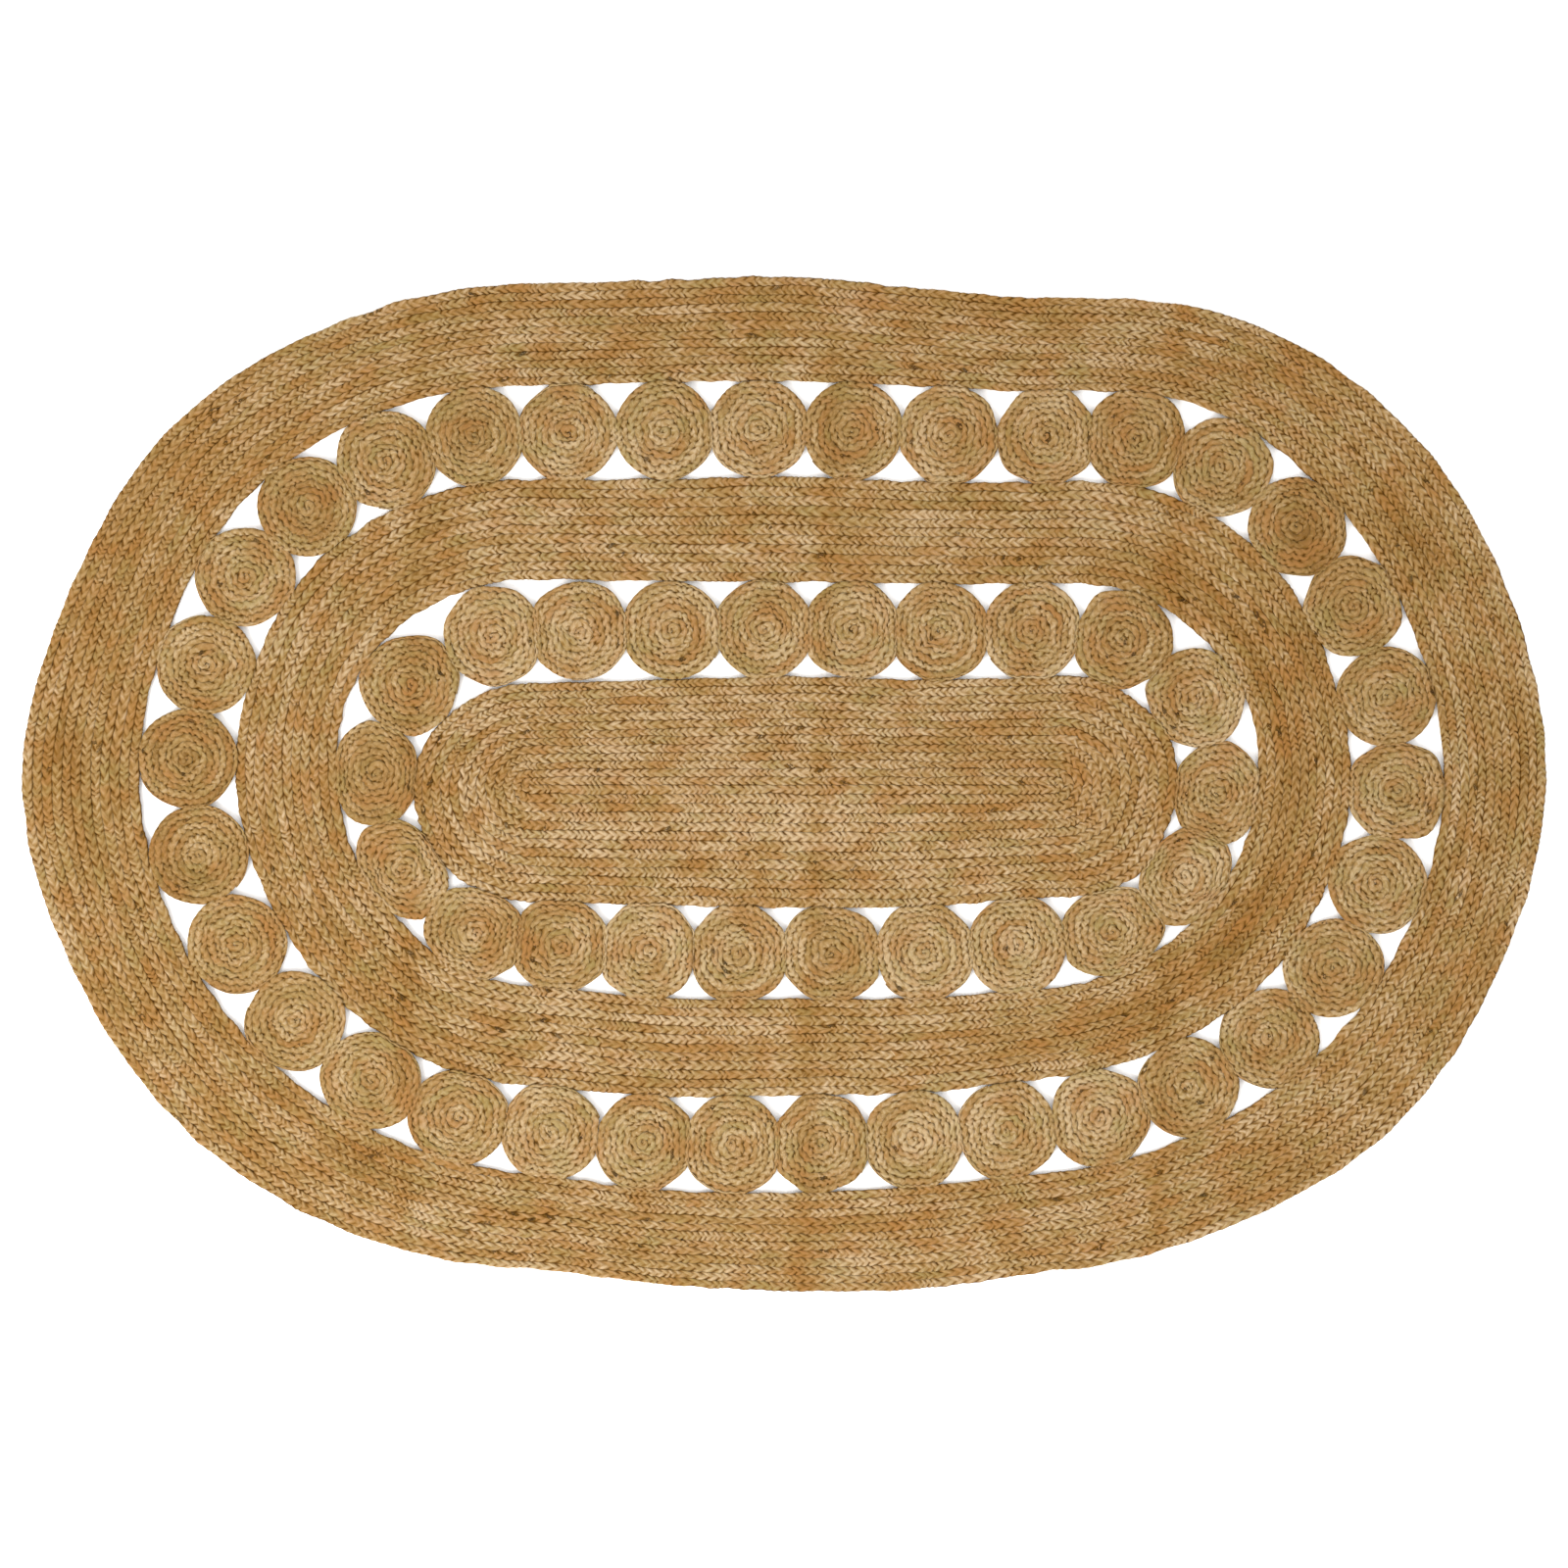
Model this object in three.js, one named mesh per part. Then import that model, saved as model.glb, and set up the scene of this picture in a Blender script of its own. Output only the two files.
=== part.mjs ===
// An oval jute rug, sewn together from one kind of flat plait.
//
// From the middle outwards: a centre oval, a ring of small discs, a middle band, a second
// ring of discs and an outer band. The oval and the bands are rows of plait lying side by
// side. Each disc is the same plait laid flat and coiled in tight turns. The curved gaps
// between the discs and the bands go right through the rug.
//
// Millimetres, +Z up. The rug lies on z = 0, with the origin under the middle of its box.

import * as THREE from 'three';

// The rug grows outwards from a straight seam along X, where the first row folds back.
const SEAM_HALF = 310;

// Sections cut the rug square to the seam. They run counter-clockwise from the right-hand
// end: so many round each end of the seam, and so many along each of its sides.
const END_SECTIONS = 8;
const SIDE_SECTIONS = 4;
const HALF_LAP = END_SECTIONS + SIDE_SECTIONS;
const LAP = 2 * HALF_LAP;

// How far each edge lies from the seam at each section. The last two columns say how far
// the discs there have crept along their ring, ahead of even spacing.
const COLUMNS = [
  'rim', 'outerInside', 'middleOutside', 'middleInside', 'centreEdge', 'outerCreep', 'innerCreep',
];
const SECTIONS = [
  [580, 460, 350, 240, 145, -5, -4],
  [582, 461, 353, 248, 146, -3, 2],
  [592, 470, 365, 246, 138, 2, 10],
  [592, 480, 368, 245, 134, 5, 6],
  [575, 465, 358, 238, 128, -5, 6],
  [586, 471, 358, 238, 124, 0, 4],
  [600, 477, 364, 240, 128, 1, -6],
  [596, 476, 361, 241, 124, 0, -8],
  [592, 472, 361, 243, 120, 3, -8],
  [591, 475, 362, 242, 121, -1, -16],
  [598, 477, 364, 243, 125, -6, -13],
  [590, 465, 354, 238, 133, -3, -4],
  [600, 462, 347, 227, 138, 0, -3],
  [582, 453, 338, 224, 138, 5, 4],
  [576, 449, 338, 222, 139, 9, 9],
  [570, 449, 347, 233, 138, 12, 12],
  [572, 460, 355, 238, 138, 11, 6],
  [590, 479, 368, 252, 142, 10, -2],
  [598, 482, 367, 253, 145, -2, -5],
  [595, 474, 363, 252, 144, -6, -4],
  [574, 458, 346, 240, 133, -7, -3],
  [561, 445, 336, 232, 138, -8, 0],
  [569, 446, 339, 230, 145, -8, 1],
  [568, 451, 342, 234, 142, -6, -1],
];

// Rows of plait, side by side, and the height of their crests and of the grooves between.
const CENTRE_ROWS = 13;
const MIDDLE_ROWS = 11;
const OUTER_ROWS = 12;
const CREST_HEIGHT = 8;
const GROOVE_HEIGHT = 6;

// The plait is round at an edge: widest half-way up, and drawn in where it meets the floor.
const EDGE_HEIGHT = 4;
const EDGE_DRAW_IN = 1.5;

// Steps round each piece, so many from section to section, at the ends and on the sides.
const OUTER_STEPS = { end: 4, side: 2 };
const MIDDLE_STEPS = { end: 3, side: 2 };
const CENTRE_STEPS = { end: 3, side: 2 };

// Discs. Pressed between the bands, a coil goes flat where it touches and spreads along
// its ring, the more so the narrower the space.
const OUTER_DISCS = 34;
const INNER_DISCS = 22;
const DISC_RADIUS = 60.5;
const DISC_PRESS = 5;
const DISC_SPREAD = 0.5;
const DISC_SIDES = 18;
const DISC_SHOULDER_IN = 4;
const DISC_HEIGHT = 9;
const OUTER_FIRST_DISC = 109;
const INNER_FIRST_DISC = -6;

// Sewn pieces touch in the real rug. Here they stay this far apart. A disc's short straight
// sides would cut into the rounded edge inside its ring, so they start further off it.
const GAP = 0.4;
const ROUND_EDGE_GAP = 1.4;

// Stations at which the ring tracks are measured, from section to section.
const TRACK_STEPS = 40;

// Colours of dry jute. The coils are a touch greener than the rows.
const BAND_JUTE = { color: 0xb18b59, roughness: 0.92, metalness: 0 };
const DISC_JUTE = { color: 0xad8a5a, roughness: 0.94, metalness: 0 };

// One column of the table at any station on the lap, smooth between its sections.
function edgeAt(column, station) {
  const at = COLUMNS.indexOf(column);
  const before = Math.floor(station);
  const part = station - before;
  const value = (section) => SECTIONS[THREE.MathUtils.euclideanModulo(section, LAP)][at];
  const start = value(before);
  const end = value(before + 1);
  const startSlope = (end - value(before - 1)) / 2;
  const endSlope = (value(before + 2) - start) / 2;
  const square = part * part;
  const cube = square * part;
  return (2 * cube - 3 * square + 1) * start + (3 * square - 2 * cube) * end
    + (cube - 2 * square + part) * startSlope + (cube - square) * endSlope;
}

// The point at a distance from the seam, square to it at a station.
function pointAt(station, distance) {
  const lap = THREE.MathUtils.euclideanModulo(station + END_SECTIONS / 2, LAP);
  const half = Math.floor(lap / HALF_LAP);
  const into = lap - half * HALF_LAP;
  const angle = Math.PI * (Math.min(into / END_SECTIONS, 1) - 0.5 + half);
  const along = Math.max(into - END_SECTIONS, 0) / SIDE_SECTIONS;
  const foot = SEAM_HALF * (1 - 2 * along) * (half === 0 ? 1 : -1);
  return new THREE.Vector2(foot + distance * Math.cos(angle), distance * Math.sin(angle));
}

// The stations of one lap, closer together round the ends than along the sides.
function lapOf(steps) {
  const stations = [];
  for (let section = 0; section < LAP; section += 1) {
    const atEnd = (section + END_SECTIONS / 2) % HALF_LAP < END_SECTIONS;
    const count = atEnd ? steps.end : steps.side;
    for (let step = 0; step < count; step += 1) {
      stations.push(section + step / count);
    }
  }
  return stations;
}

// A closed loop of points round the rug, counter-clockwise from above.
function loopAt(steps, height, distanceAt) {
  return lapOf(steps).map((station) => {
    const point = pointAt(station, distanceAt(station));
    return new THREE.Vector3(point.x, point.y, height);
  });
}

// The rug's box is centred on the origin, and the seam lies a little to one side of it.
function seamShift() {
  const rim = loopAt(OUTER_STEPS, 0, (station) => edgeAt('rim', station));
  const middle = new THREE.Box3().setFromPoints(rim).getCenter(new THREE.Vector3());
  return middle.negate();
}

// A closed surface through loops of equal length. Each loop is joined to the next, and
// the ends are closed by caps, or joined to each other where the piece is a ring.
function solidThrough(loops, { ring }) {
  const sides = loops[0].length;
  const positions = loops.flat().flatMap((point) => [point.x, point.y, point.z]);
  const corners = [];
  const joints = ring ? loops.length : loops.length - 1;
  for (let loop = 0; loop < joints; loop += 1) {
    const low = loop * sides;
    const high = ((loop + 1) % loops.length) * sides;
    for (let side = 0; side < sides; side += 1) {
      const next = (side + 1) % sides;
      corners.push(low + side, low + next, high + next);
      corners.push(low + side, high + next, high + side);
    }
  }
  if (!ring) {
    const last = (loops.length - 1) * sides;
    const cap = (loop) => THREE.ShapeUtils.triangulateShape(loop, []);
    cap(loops[0]).forEach(([a, b, c]) => corners.push(a, c, b));
    cap(loops.at(-1)).forEach(([a, b, c]) => corners.push(last + a, last + b, last + c));
  }
  const geometry = new THREE.BufferGeometry();
  geometry.setAttribute('position', new THREE.Float32BufferAttribute(positions, 3));
  geometry.setIndex(corners);
  geometry.computeVertexNormals();
  return geometry;
}

function pieceOf(name, geometry, finish) {
  const mesh = new THREE.Mesh(geometry, new THREE.MeshStandardMaterial(finish));
  mesh.name = name;
  return mesh;
}

// A band of rows between two edges of the table, with a crest on each row.
function bandOf(name, inside, outside, rows, steps) {
  const across = (share) => (station) => {
    const near = edgeAt(inside, station);
    return near + (edgeAt(outside, station) - near) * share;
  };
  const drawnIn = (edge, by) => (station) => edgeAt(edge, station) + by;
  const loops = [
    loopAt(steps, 0, drawnIn(outside, -EDGE_DRAW_IN)),
    loopAt(steps, EDGE_HEIGHT, drawnIn(outside, 0)),
  ];
  for (let row = rows - 1; row >= 0; row -= 1) {
    loops.push(loopAt(steps, CREST_HEIGHT, across((row + 0.5) / rows)));
    if (row > 0) {
      loops.push(loopAt(steps, GROOVE_HEIGHT, across(row / rows)));
    }
  }
  loops.push(loopAt(steps, EDGE_HEIGHT, drawnIn(inside, 0)));
  loops.push(loopAt(steps, 0, drawnIn(inside, EDGE_DRAW_IN)));
  return pieceOf(name, solidThrough(loops, { ring: true }), BAND_JUTE);
}

// The centre oval: rows wound round the seam, the innermost one closed on itself.
function centreOf(name) {
  const across = (share) => (station) => edgeAt('centreEdge', station) * share;
  const drawnIn = (station) => edgeAt('centreEdge', station) - EDGE_DRAW_IN;
  const loops = [
    loopAt(CENTRE_STEPS, 0, drawnIn),
    loopAt(CENTRE_STEPS, EDGE_HEIGHT, across(1)),
  ];
  for (let row = CENTRE_ROWS - 1; row >= 0; row -= 1) {
    loops.push(loopAt(CENTRE_STEPS, CREST_HEIGHT, across((row + 0.5) / CENTRE_ROWS)));
    if (row > 0) {
      loops.push(loopAt(CENTRE_STEPS, GROOVE_HEIGHT, across(row / CENTRE_ROWS)));
    }
  }
  return pieceOf(name, solidThrough(loops, { ring: false }), BAND_JUTE);
}

// Where the discs of a ring lie: on the track half-way between its two edges, evenly
// spaced along it but for their creep.
function discsAlong(inside, outside, creep, count, firstAt) {
  const onTrack = (station) => {
    const distance = (edgeAt(inside, station) + edgeAt(outside, station)) / 2;
    return pointAt(station, distance);
  };
  const lengths = [0];
  for (let step = 1; step <= LAP * TRACK_STEPS; step += 1) {
    const here = onTrack(step / TRACK_STEPS);
    const stretch = here.distanceTo(onTrack((step - 1) / TRACK_STEPS));
    lengths.push(lengths[step - 1] + stretch);
  }
  const whole = lengths.at(-1);
  const stationAt = (length) => {
    const wanted = THREE.MathUtils.euclideanModulo(length, whole);
    const after = lengths.findIndex((reached) => reached > wanted);
    const part = (wanted - lengths[after - 1]) / (lengths[after] - lengths[after - 1]);
    return (after - 1 + part) / TRACK_STEPS;
  };
  const discs = [];
  for (let disc = 0; disc < count; disc += 1) {
    const even = firstAt + (disc * whole) / count;
    const crept = even + edgeAt(creep, stationAt(even));
    const station = stationAt(crept);
    const halfSpace = (edgeAt(outside, station) - edgeAt(inside, station)) / 2;
    const across = Math.min(DISC_RADIUS, halfSpace + DISC_PRESS);
    discs.push({
      centre: onTrack(station),
      ahead: onTrack(station + 1 / TRACK_STEPS).sub(onTrack(station)).normalize(),
      across,
      along: DISC_RADIUS * (DISC_RADIUS / across) ** DISC_SPREAD,
    });
  }
  return discs;
}

// How far a ray from a point runs before it crosses a loop.
function reachTo(loop, from, direction) {
  const ray = new THREE.Vector2().copy(direction);
  let nearest = Infinity;
  loop.forEach((corner, at) => {
    const next = loop[(at + 1) % loop.length];
    const edge = new THREE.Vector2(next.x - corner.x, next.y - corner.y);
    const offset = new THREE.Vector2(corner.x - from.x, corner.y - from.y);
    const turn = ray.cross(edge);
    const reach = offset.cross(edge) / turn;
    const part = offset.cross(ray) / turn;
    if (part >= 0 && part <= 1 && reach > 0) {
      nearest = Math.min(nearest, reach);
    }
  });
  return nearest;
}

// A disc's outline as reaches from its centre, side by side: an oval, flat where it
// meets its two neighbours and the bands.
function outlineOf(disc, neighbours, bandEdges) {
  const outline = [];
  for (let side = 0; side < DISC_SIDES; side += 1) {
    const angle = (2 * Math.PI * side) / DISC_SIDES;
    const ahead = disc.ahead.clone().multiplyScalar(disc.along * Math.cos(angle));
    const aside = new THREE.Vector2(-disc.ahead.y, disc.ahead.x);
    const arm = ahead.add(aside.multiplyScalar(disc.across * Math.sin(angle)));
    const direction = arm.clone().normalize();
    const reaches = bandEdges.map(({ loop, gap }) => reachTo(loop, disc.centre, direction) - gap);
    neighbours.forEach((neighbour) => {
      const way = neighbour.centre.clone().sub(disc.centre);
      const slant = direction.dot(way) / way.length();
      if (slant > 0) {
        reaches.push((way.length() - GAP) / 2 / slant);
      }
    });
    outline.push({ direction, reach: Math.min(arm.length(), ...reaches) });
  }
  return outline;
}

// One disc: a low coil with a rounded edge.
function discOf(name, disc, neighbours, bandEdges) {
  const outline = outlineOf(disc, neighbours, bandEdges);
  const loopIn = (drawIn, height) => outline.map(({ direction, reach }) => {
    const point = direction.clone().multiplyScalar(reach - drawIn).add(disc.centre);
    return new THREE.Vector3(point.x, point.y, height);
  });
  const loops = [
    loopIn(EDGE_DRAW_IN, 0),
    loopIn(0, EDGE_HEIGHT),
    loopIn(DISC_SHOULDER_IN, DISC_HEIGHT),
  ];
  return pieceOf(name, solidThrough(loops, { ring: false }), DISC_JUTE);
}

// A whole ring of discs between two bands.
function ringOfDiscs(prefix, inside, outside, creep, count, firstAt, steps) {
  const discs = discsAlong(inside, outside, creep, count, firstAt);
  const edge = (column, edgeSteps) => loopAt(edgeSteps, 0, (station) => edgeAt(column, station));
  const bandEdges = [
    { loop: edge(inside, steps.inside), gap: ROUND_EDGE_GAP },
    { loop: edge(outside, steps.outside), gap: GAP },
  ];
  return discs.map((disc, at) => {
    const neighbours = [discs[(at + count - 1) % count], discs[(at + 1) % count]];
    const number = String(at + 1).padStart(2, '0');
    return discOf(`${prefix}_${number}`, disc, neighbours, bandEdges);
  });
}

const rug = new THREE.Group();
rug.position.copy(seamShift());
rug.add(
  centreOf('centre_oval'),
  bandOf('middle_band', 'middleInside', 'middleOutside', MIDDLE_ROWS, MIDDLE_STEPS),
  bandOf('outer_band', 'outerInside', 'rim', OUTER_ROWS, OUTER_STEPS),
  ...ringOfDiscs(
    'inner_disc', 'centreEdge', 'middleInside', 'innerCreep', INNER_DISCS, INNER_FIRST_DISC,
    { inside: CENTRE_STEPS, outside: MIDDLE_STEPS },
  ),
  ...ringOfDiscs(
    'outer_disc', 'middleOutside', 'outerInside', 'outerCreep', OUTER_DISCS, OUTER_FIRST_DISC,
    { inside: MIDDLE_STEPS, outside: OUTER_STEPS },
  ),
);

export default rug;
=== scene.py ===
"""An oval jute rug, laid flat on a pale floor and seen from straight above.

The rug is made of one kind of flat three-strand plait. Rows of it are sewn side by side
into a centre oval and two bands, and short lengths of it, laid flat and coiled in tight
turns, make the discs of the two rings between them. Each strand crossing of each row and
coil is modelled as a raised lobe, and the fibres on it are in the material.

Metres, +Z up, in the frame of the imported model.
"""

import logging
import math
from dataclasses import dataclass, field, replace
from enum import Enum
from typing import Callable, NamedTuple

import bpy
import numpy as np
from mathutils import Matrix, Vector


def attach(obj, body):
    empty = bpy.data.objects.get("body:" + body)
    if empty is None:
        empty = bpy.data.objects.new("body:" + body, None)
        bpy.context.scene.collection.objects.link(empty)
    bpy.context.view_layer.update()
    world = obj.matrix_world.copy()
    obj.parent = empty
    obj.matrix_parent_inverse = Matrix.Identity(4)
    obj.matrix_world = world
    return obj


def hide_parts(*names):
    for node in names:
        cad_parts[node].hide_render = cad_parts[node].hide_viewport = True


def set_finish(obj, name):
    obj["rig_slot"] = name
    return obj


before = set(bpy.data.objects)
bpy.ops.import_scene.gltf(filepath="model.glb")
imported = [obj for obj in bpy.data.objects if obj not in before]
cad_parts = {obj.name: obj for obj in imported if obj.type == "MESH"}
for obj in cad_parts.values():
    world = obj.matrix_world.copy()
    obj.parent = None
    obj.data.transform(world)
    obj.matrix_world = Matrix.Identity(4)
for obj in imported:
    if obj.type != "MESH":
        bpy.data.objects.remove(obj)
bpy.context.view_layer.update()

LOG = logging.getLogger("jute_rug")

Place = Callable[[np.ndarray, np.ndarray], np.ndarray]
Colour = tuple[float, float, float, float]

# Strands in the plait, and how far apart its runs lie on their maps, in half widths.
STRANDS = 3
MAP_SPACING = 4


class Section(NamedTuple):
    """How far each edge lies from the seam at one section, and the discs' creep there."""

    rim: float
    outer_inside: float
    middle_outside: float
    middle_inside: float
    centre_edge: float
    outer_creep: float
    inner_creep: float


# The rug grows outwards from a straight seam along X. Sections cut it square to the seam,
# counter-clockwise from the right-hand end: so many round each end, so many on each side.
SEAM_HALF = 0.310
END_SECTIONS = 8
SIDE_SECTIONS = 4
HALF_LAP = END_SECTIONS + SIDE_SECTIONS
LAP = 2 * HALF_LAP
SECTIONS = (
    Section(0.580, 0.460, 0.350, 0.240, 0.145, -0.005, -0.004),
    Section(0.582, 0.461, 0.353, 0.248, 0.146, -0.003, 0.002),
    Section(0.592, 0.470, 0.365, 0.246, 0.138, 0.002, 0.010),
    Section(0.592, 0.480, 0.368, 0.245, 0.134, 0.005, 0.006),
    Section(0.575, 0.465, 0.358, 0.238, 0.128, -0.005, 0.006),
    Section(0.586, 0.471, 0.358, 0.238, 0.124, 0.000, 0.004),
    Section(0.600, 0.477, 0.364, 0.240, 0.128, 0.001, -0.006),
    Section(0.596, 0.476, 0.361, 0.241, 0.124, 0.000, -0.008),
    Section(0.592, 0.472, 0.361, 0.243, 0.120, 0.003, -0.008),
    Section(0.591, 0.475, 0.362, 0.242, 0.121, -0.001, -0.016),
    Section(0.598, 0.477, 0.364, 0.243, 0.125, -0.006, -0.013),
    Section(0.590, 0.465, 0.354, 0.238, 0.133, -0.003, -0.004),
    Section(0.600, 0.462, 0.347, 0.227, 0.138, 0.000, -0.003),
    Section(0.582, 0.453, 0.338, 0.224, 0.138, 0.005, 0.004),
    Section(0.576, 0.449, 0.338, 0.222, 0.139, 0.009, 0.009),
    Section(0.570, 0.449, 0.347, 0.233, 0.138, 0.012, 0.012),
    Section(0.572, 0.460, 0.355, 0.238, 0.138, 0.011, 0.006),
    Section(0.590, 0.479, 0.368, 0.252, 0.142, 0.010, -0.002),
    Section(0.598, 0.482, 0.367, 0.253, 0.145, -0.002, -0.005),
    Section(0.595, 0.474, 0.363, 0.252, 0.144, -0.006, -0.004),
    Section(0.574, 0.458, 0.346, 0.240, 0.133, -0.007, -0.003),
    Section(0.561, 0.445, 0.336, 0.232, 0.138, -0.008, 0.000),
    Section(0.569, 0.446, 0.339, 0.230, 0.145, -0.008, 0.001),
    Section(0.568, 0.451, 0.342, 0.234, 0.142, -0.006, -0.001),
)


class Edge(Enum):
    """An edge that runs right round the rug, or a ring's creep, by its column's name."""

    SEAM = "seam"
    CENTRE_EDGE = "centre_edge"
    MIDDLE_INSIDE = "middle_inside"
    MIDDLE_OUTSIDE = "middle_outside"
    OUTER_INSIDE = "outer_inside"
    RIM = "rim"
    OUTER_CREEP = "outer_creep"
    INNER_CREEP = "inner_creep"


class Slot(Enum):
    """The record's material slots."""

    BAND = "band_jute"
    COIL = "coil_jute"


@dataclass
class RugPlan:
    """The rug's edges seen from above: how far each is from the seam, all the way round."""

    seam_half: float = SEAM_HALF
    stations_per_section: int = 40
    edge_wander: float = 0.0008
    wander_waves: int = 9
    edge_waves: tuple[int, int] = (30, 110)
    columns: dict[Edge, np.ndarray] = field(init=False)
    shift: np.ndarray = field(init=False)

    def __post_init__(self) -> None:
        """Reads the table's columns and centres the rim's box on the origin."""
        self.columns = {
            edge: np.array([getattr(section, edge.value, 0.0) for section in SECTIONS])
            for edge in Edge
        }
        self.shift = np.zeros(2)
        rim = self.loop(Edge.RIM)
        self.shift = -(rim.min(axis=0) + rim.max(axis=0)) / 2

    def distance(self, edge: Edge, station: np.ndarray) -> np.ndarray:
        """An edge's distance from the seam, smooth between the sections.

        Args:
            edge: The edge, or the creep of a ring.
            station: Places on the lap, counted in sections.

        Returns:
            The distances in metres.
        """
        column = self.columns[edge]
        before = np.floor(station).astype(int)
        part = station - before
        start = column[before % LAP]
        end = column[(before + 1) % LAP]
        start_slope = (end - column[(before - 1) % LAP]) / 2
        end_slope = (column[(before + 2) % LAP] - start) / 2
        square = part**2
        cube = part**3
        return (
            (2 * cube - 3 * square + 1) * start
            + (3 * square - 2 * cube) * end
            + (cube - 2 * square + part) * start_slope
            + (cube - square) * end_slope
        )

    def point(self, station: np.ndarray, distance: np.ndarray) -> np.ndarray:
        """The points at a distance from the seam, square to it at a station.

        Args:
            station: Places on the lap, counted in sections.
            distance: How far each point is from the seam.

        Returns:
            X and Y of each point, in the last axis.
        """
        lap = (station + END_SECTIONS / 2) % LAP
        half = np.floor(lap / HALF_LAP)
        into = lap - half * HALF_LAP
        angle = np.pi * (np.minimum(into / END_SECTIONS, 1) - 0.5 + half)
        along = np.maximum(into - END_SECTIONS, 0) / SIDE_SECTIONS
        foot = self.seam_half * (1 - 2 * along) * (1 - 2 * half)
        x = foot + distance * np.cos(angle)
        y = distance * np.sin(angle)
        return np.stack([x, y], axis=-1) + self.shift

    def stations(self) -> np.ndarray:
        """The stations of one lap, close together, without the last that closes it."""
        return np.arange(LAP * self.stations_per_section) / self.stations_per_section

    def loop(self, edge: Edge) -> np.ndarray:
        """The points of one edge, all the way round."""
        stations = self.stations()
        return self.point(stations, self.distance(edge, stations))

    def rough_distance(self, edge: Edge, station: np.ndarray) -> np.ndarray:
        """An edge's distance from the seam as it really runs, uneven from stitch to stitch."""
        if edge is Edge.SEAM:
            return self.distance(edge, station)
        chance = np.random.default_rng(list(Edge).index(edge))
        wandering = wavering(chance, station / LAP, self.edge_waves, self.wander_waves)
        return self.distance(edge, station) + self.edge_wander * wandering

    def rough_loop(self, edge: Edge) -> np.ndarray:
        """The points of one uneven edge, all the way round."""
        stations = self.stations()
        return self.point(stations, self.rough_distance(edge, stations))

    def between(self, inside: Edge, outside: Edge, share: float) -> Callable[[np.ndarray], np.ndarray]:
        """The distance of the line at a share of the way from one edge to another."""

        def at(station: np.ndarray) -> np.ndarray:
            near = self.distance(inside, station)
            return near + (self.distance(outside, station) - near) * share

        return at


@dataclass(frozen=True)
class Ridge:
    """A low ridge that a fold has left across the rug, from the top side to the bottom."""

    top_x: float
    bottom_x: float
    height: float
    half_width: float


@dataclass(frozen=True)
class ToneMark:
    """A soft patch where the jute is darker or warmer, oval in plan."""

    x: float
    y: float
    half_x: float
    half_y: float
    shade: float
    warmth: float

    def strength(self, x: np.ndarray, y: np.ndarray) -> np.ndarray:
        """How strongly the mark shows at each point, from 0 to 1."""
        return np.exp(-(((x - self.x) / self.half_x) ** 2) - ((y - self.y) / self.half_y) ** 2)


@dataclass(frozen=True)
class ArcMark:
    """A stretch of rows round one end of the rug where the jute is darker or warmer."""

    end: int
    radius: float
    half_depth: float
    angle: float
    half_angle: float
    shade: float
    warmth: float

    def strength(self, x: np.ndarray, y: np.ndarray) -> np.ndarray:
        """How strongly the mark shows at each point, from 0 to 1."""
        away = x - self.end * SEAM_HALF
        depth = (np.hypot(away, y) - self.radius) / self.half_depth
        turn = (np.degrees(np.arctan2(y, away)) - self.angle + 180) % 360 - 180
        return np.exp(-(depth**2) - (turn / self.half_angle) ** 4)


# The three old folds. Their places are the photo's, and their heights a guess from its shading.
FOLD_RIDGES = (
    Ridge(top_x=0.064, bottom_x=0.016, height=0.0012, half_width=0.013),
    Ridge(top_x=0.470, bottom_x=0.438, height=0.0010, half_width=0.012),
    Ridge(top_x=-0.430, bottom_x=-0.452, height=0.0007, half_width=0.014),
)
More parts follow.
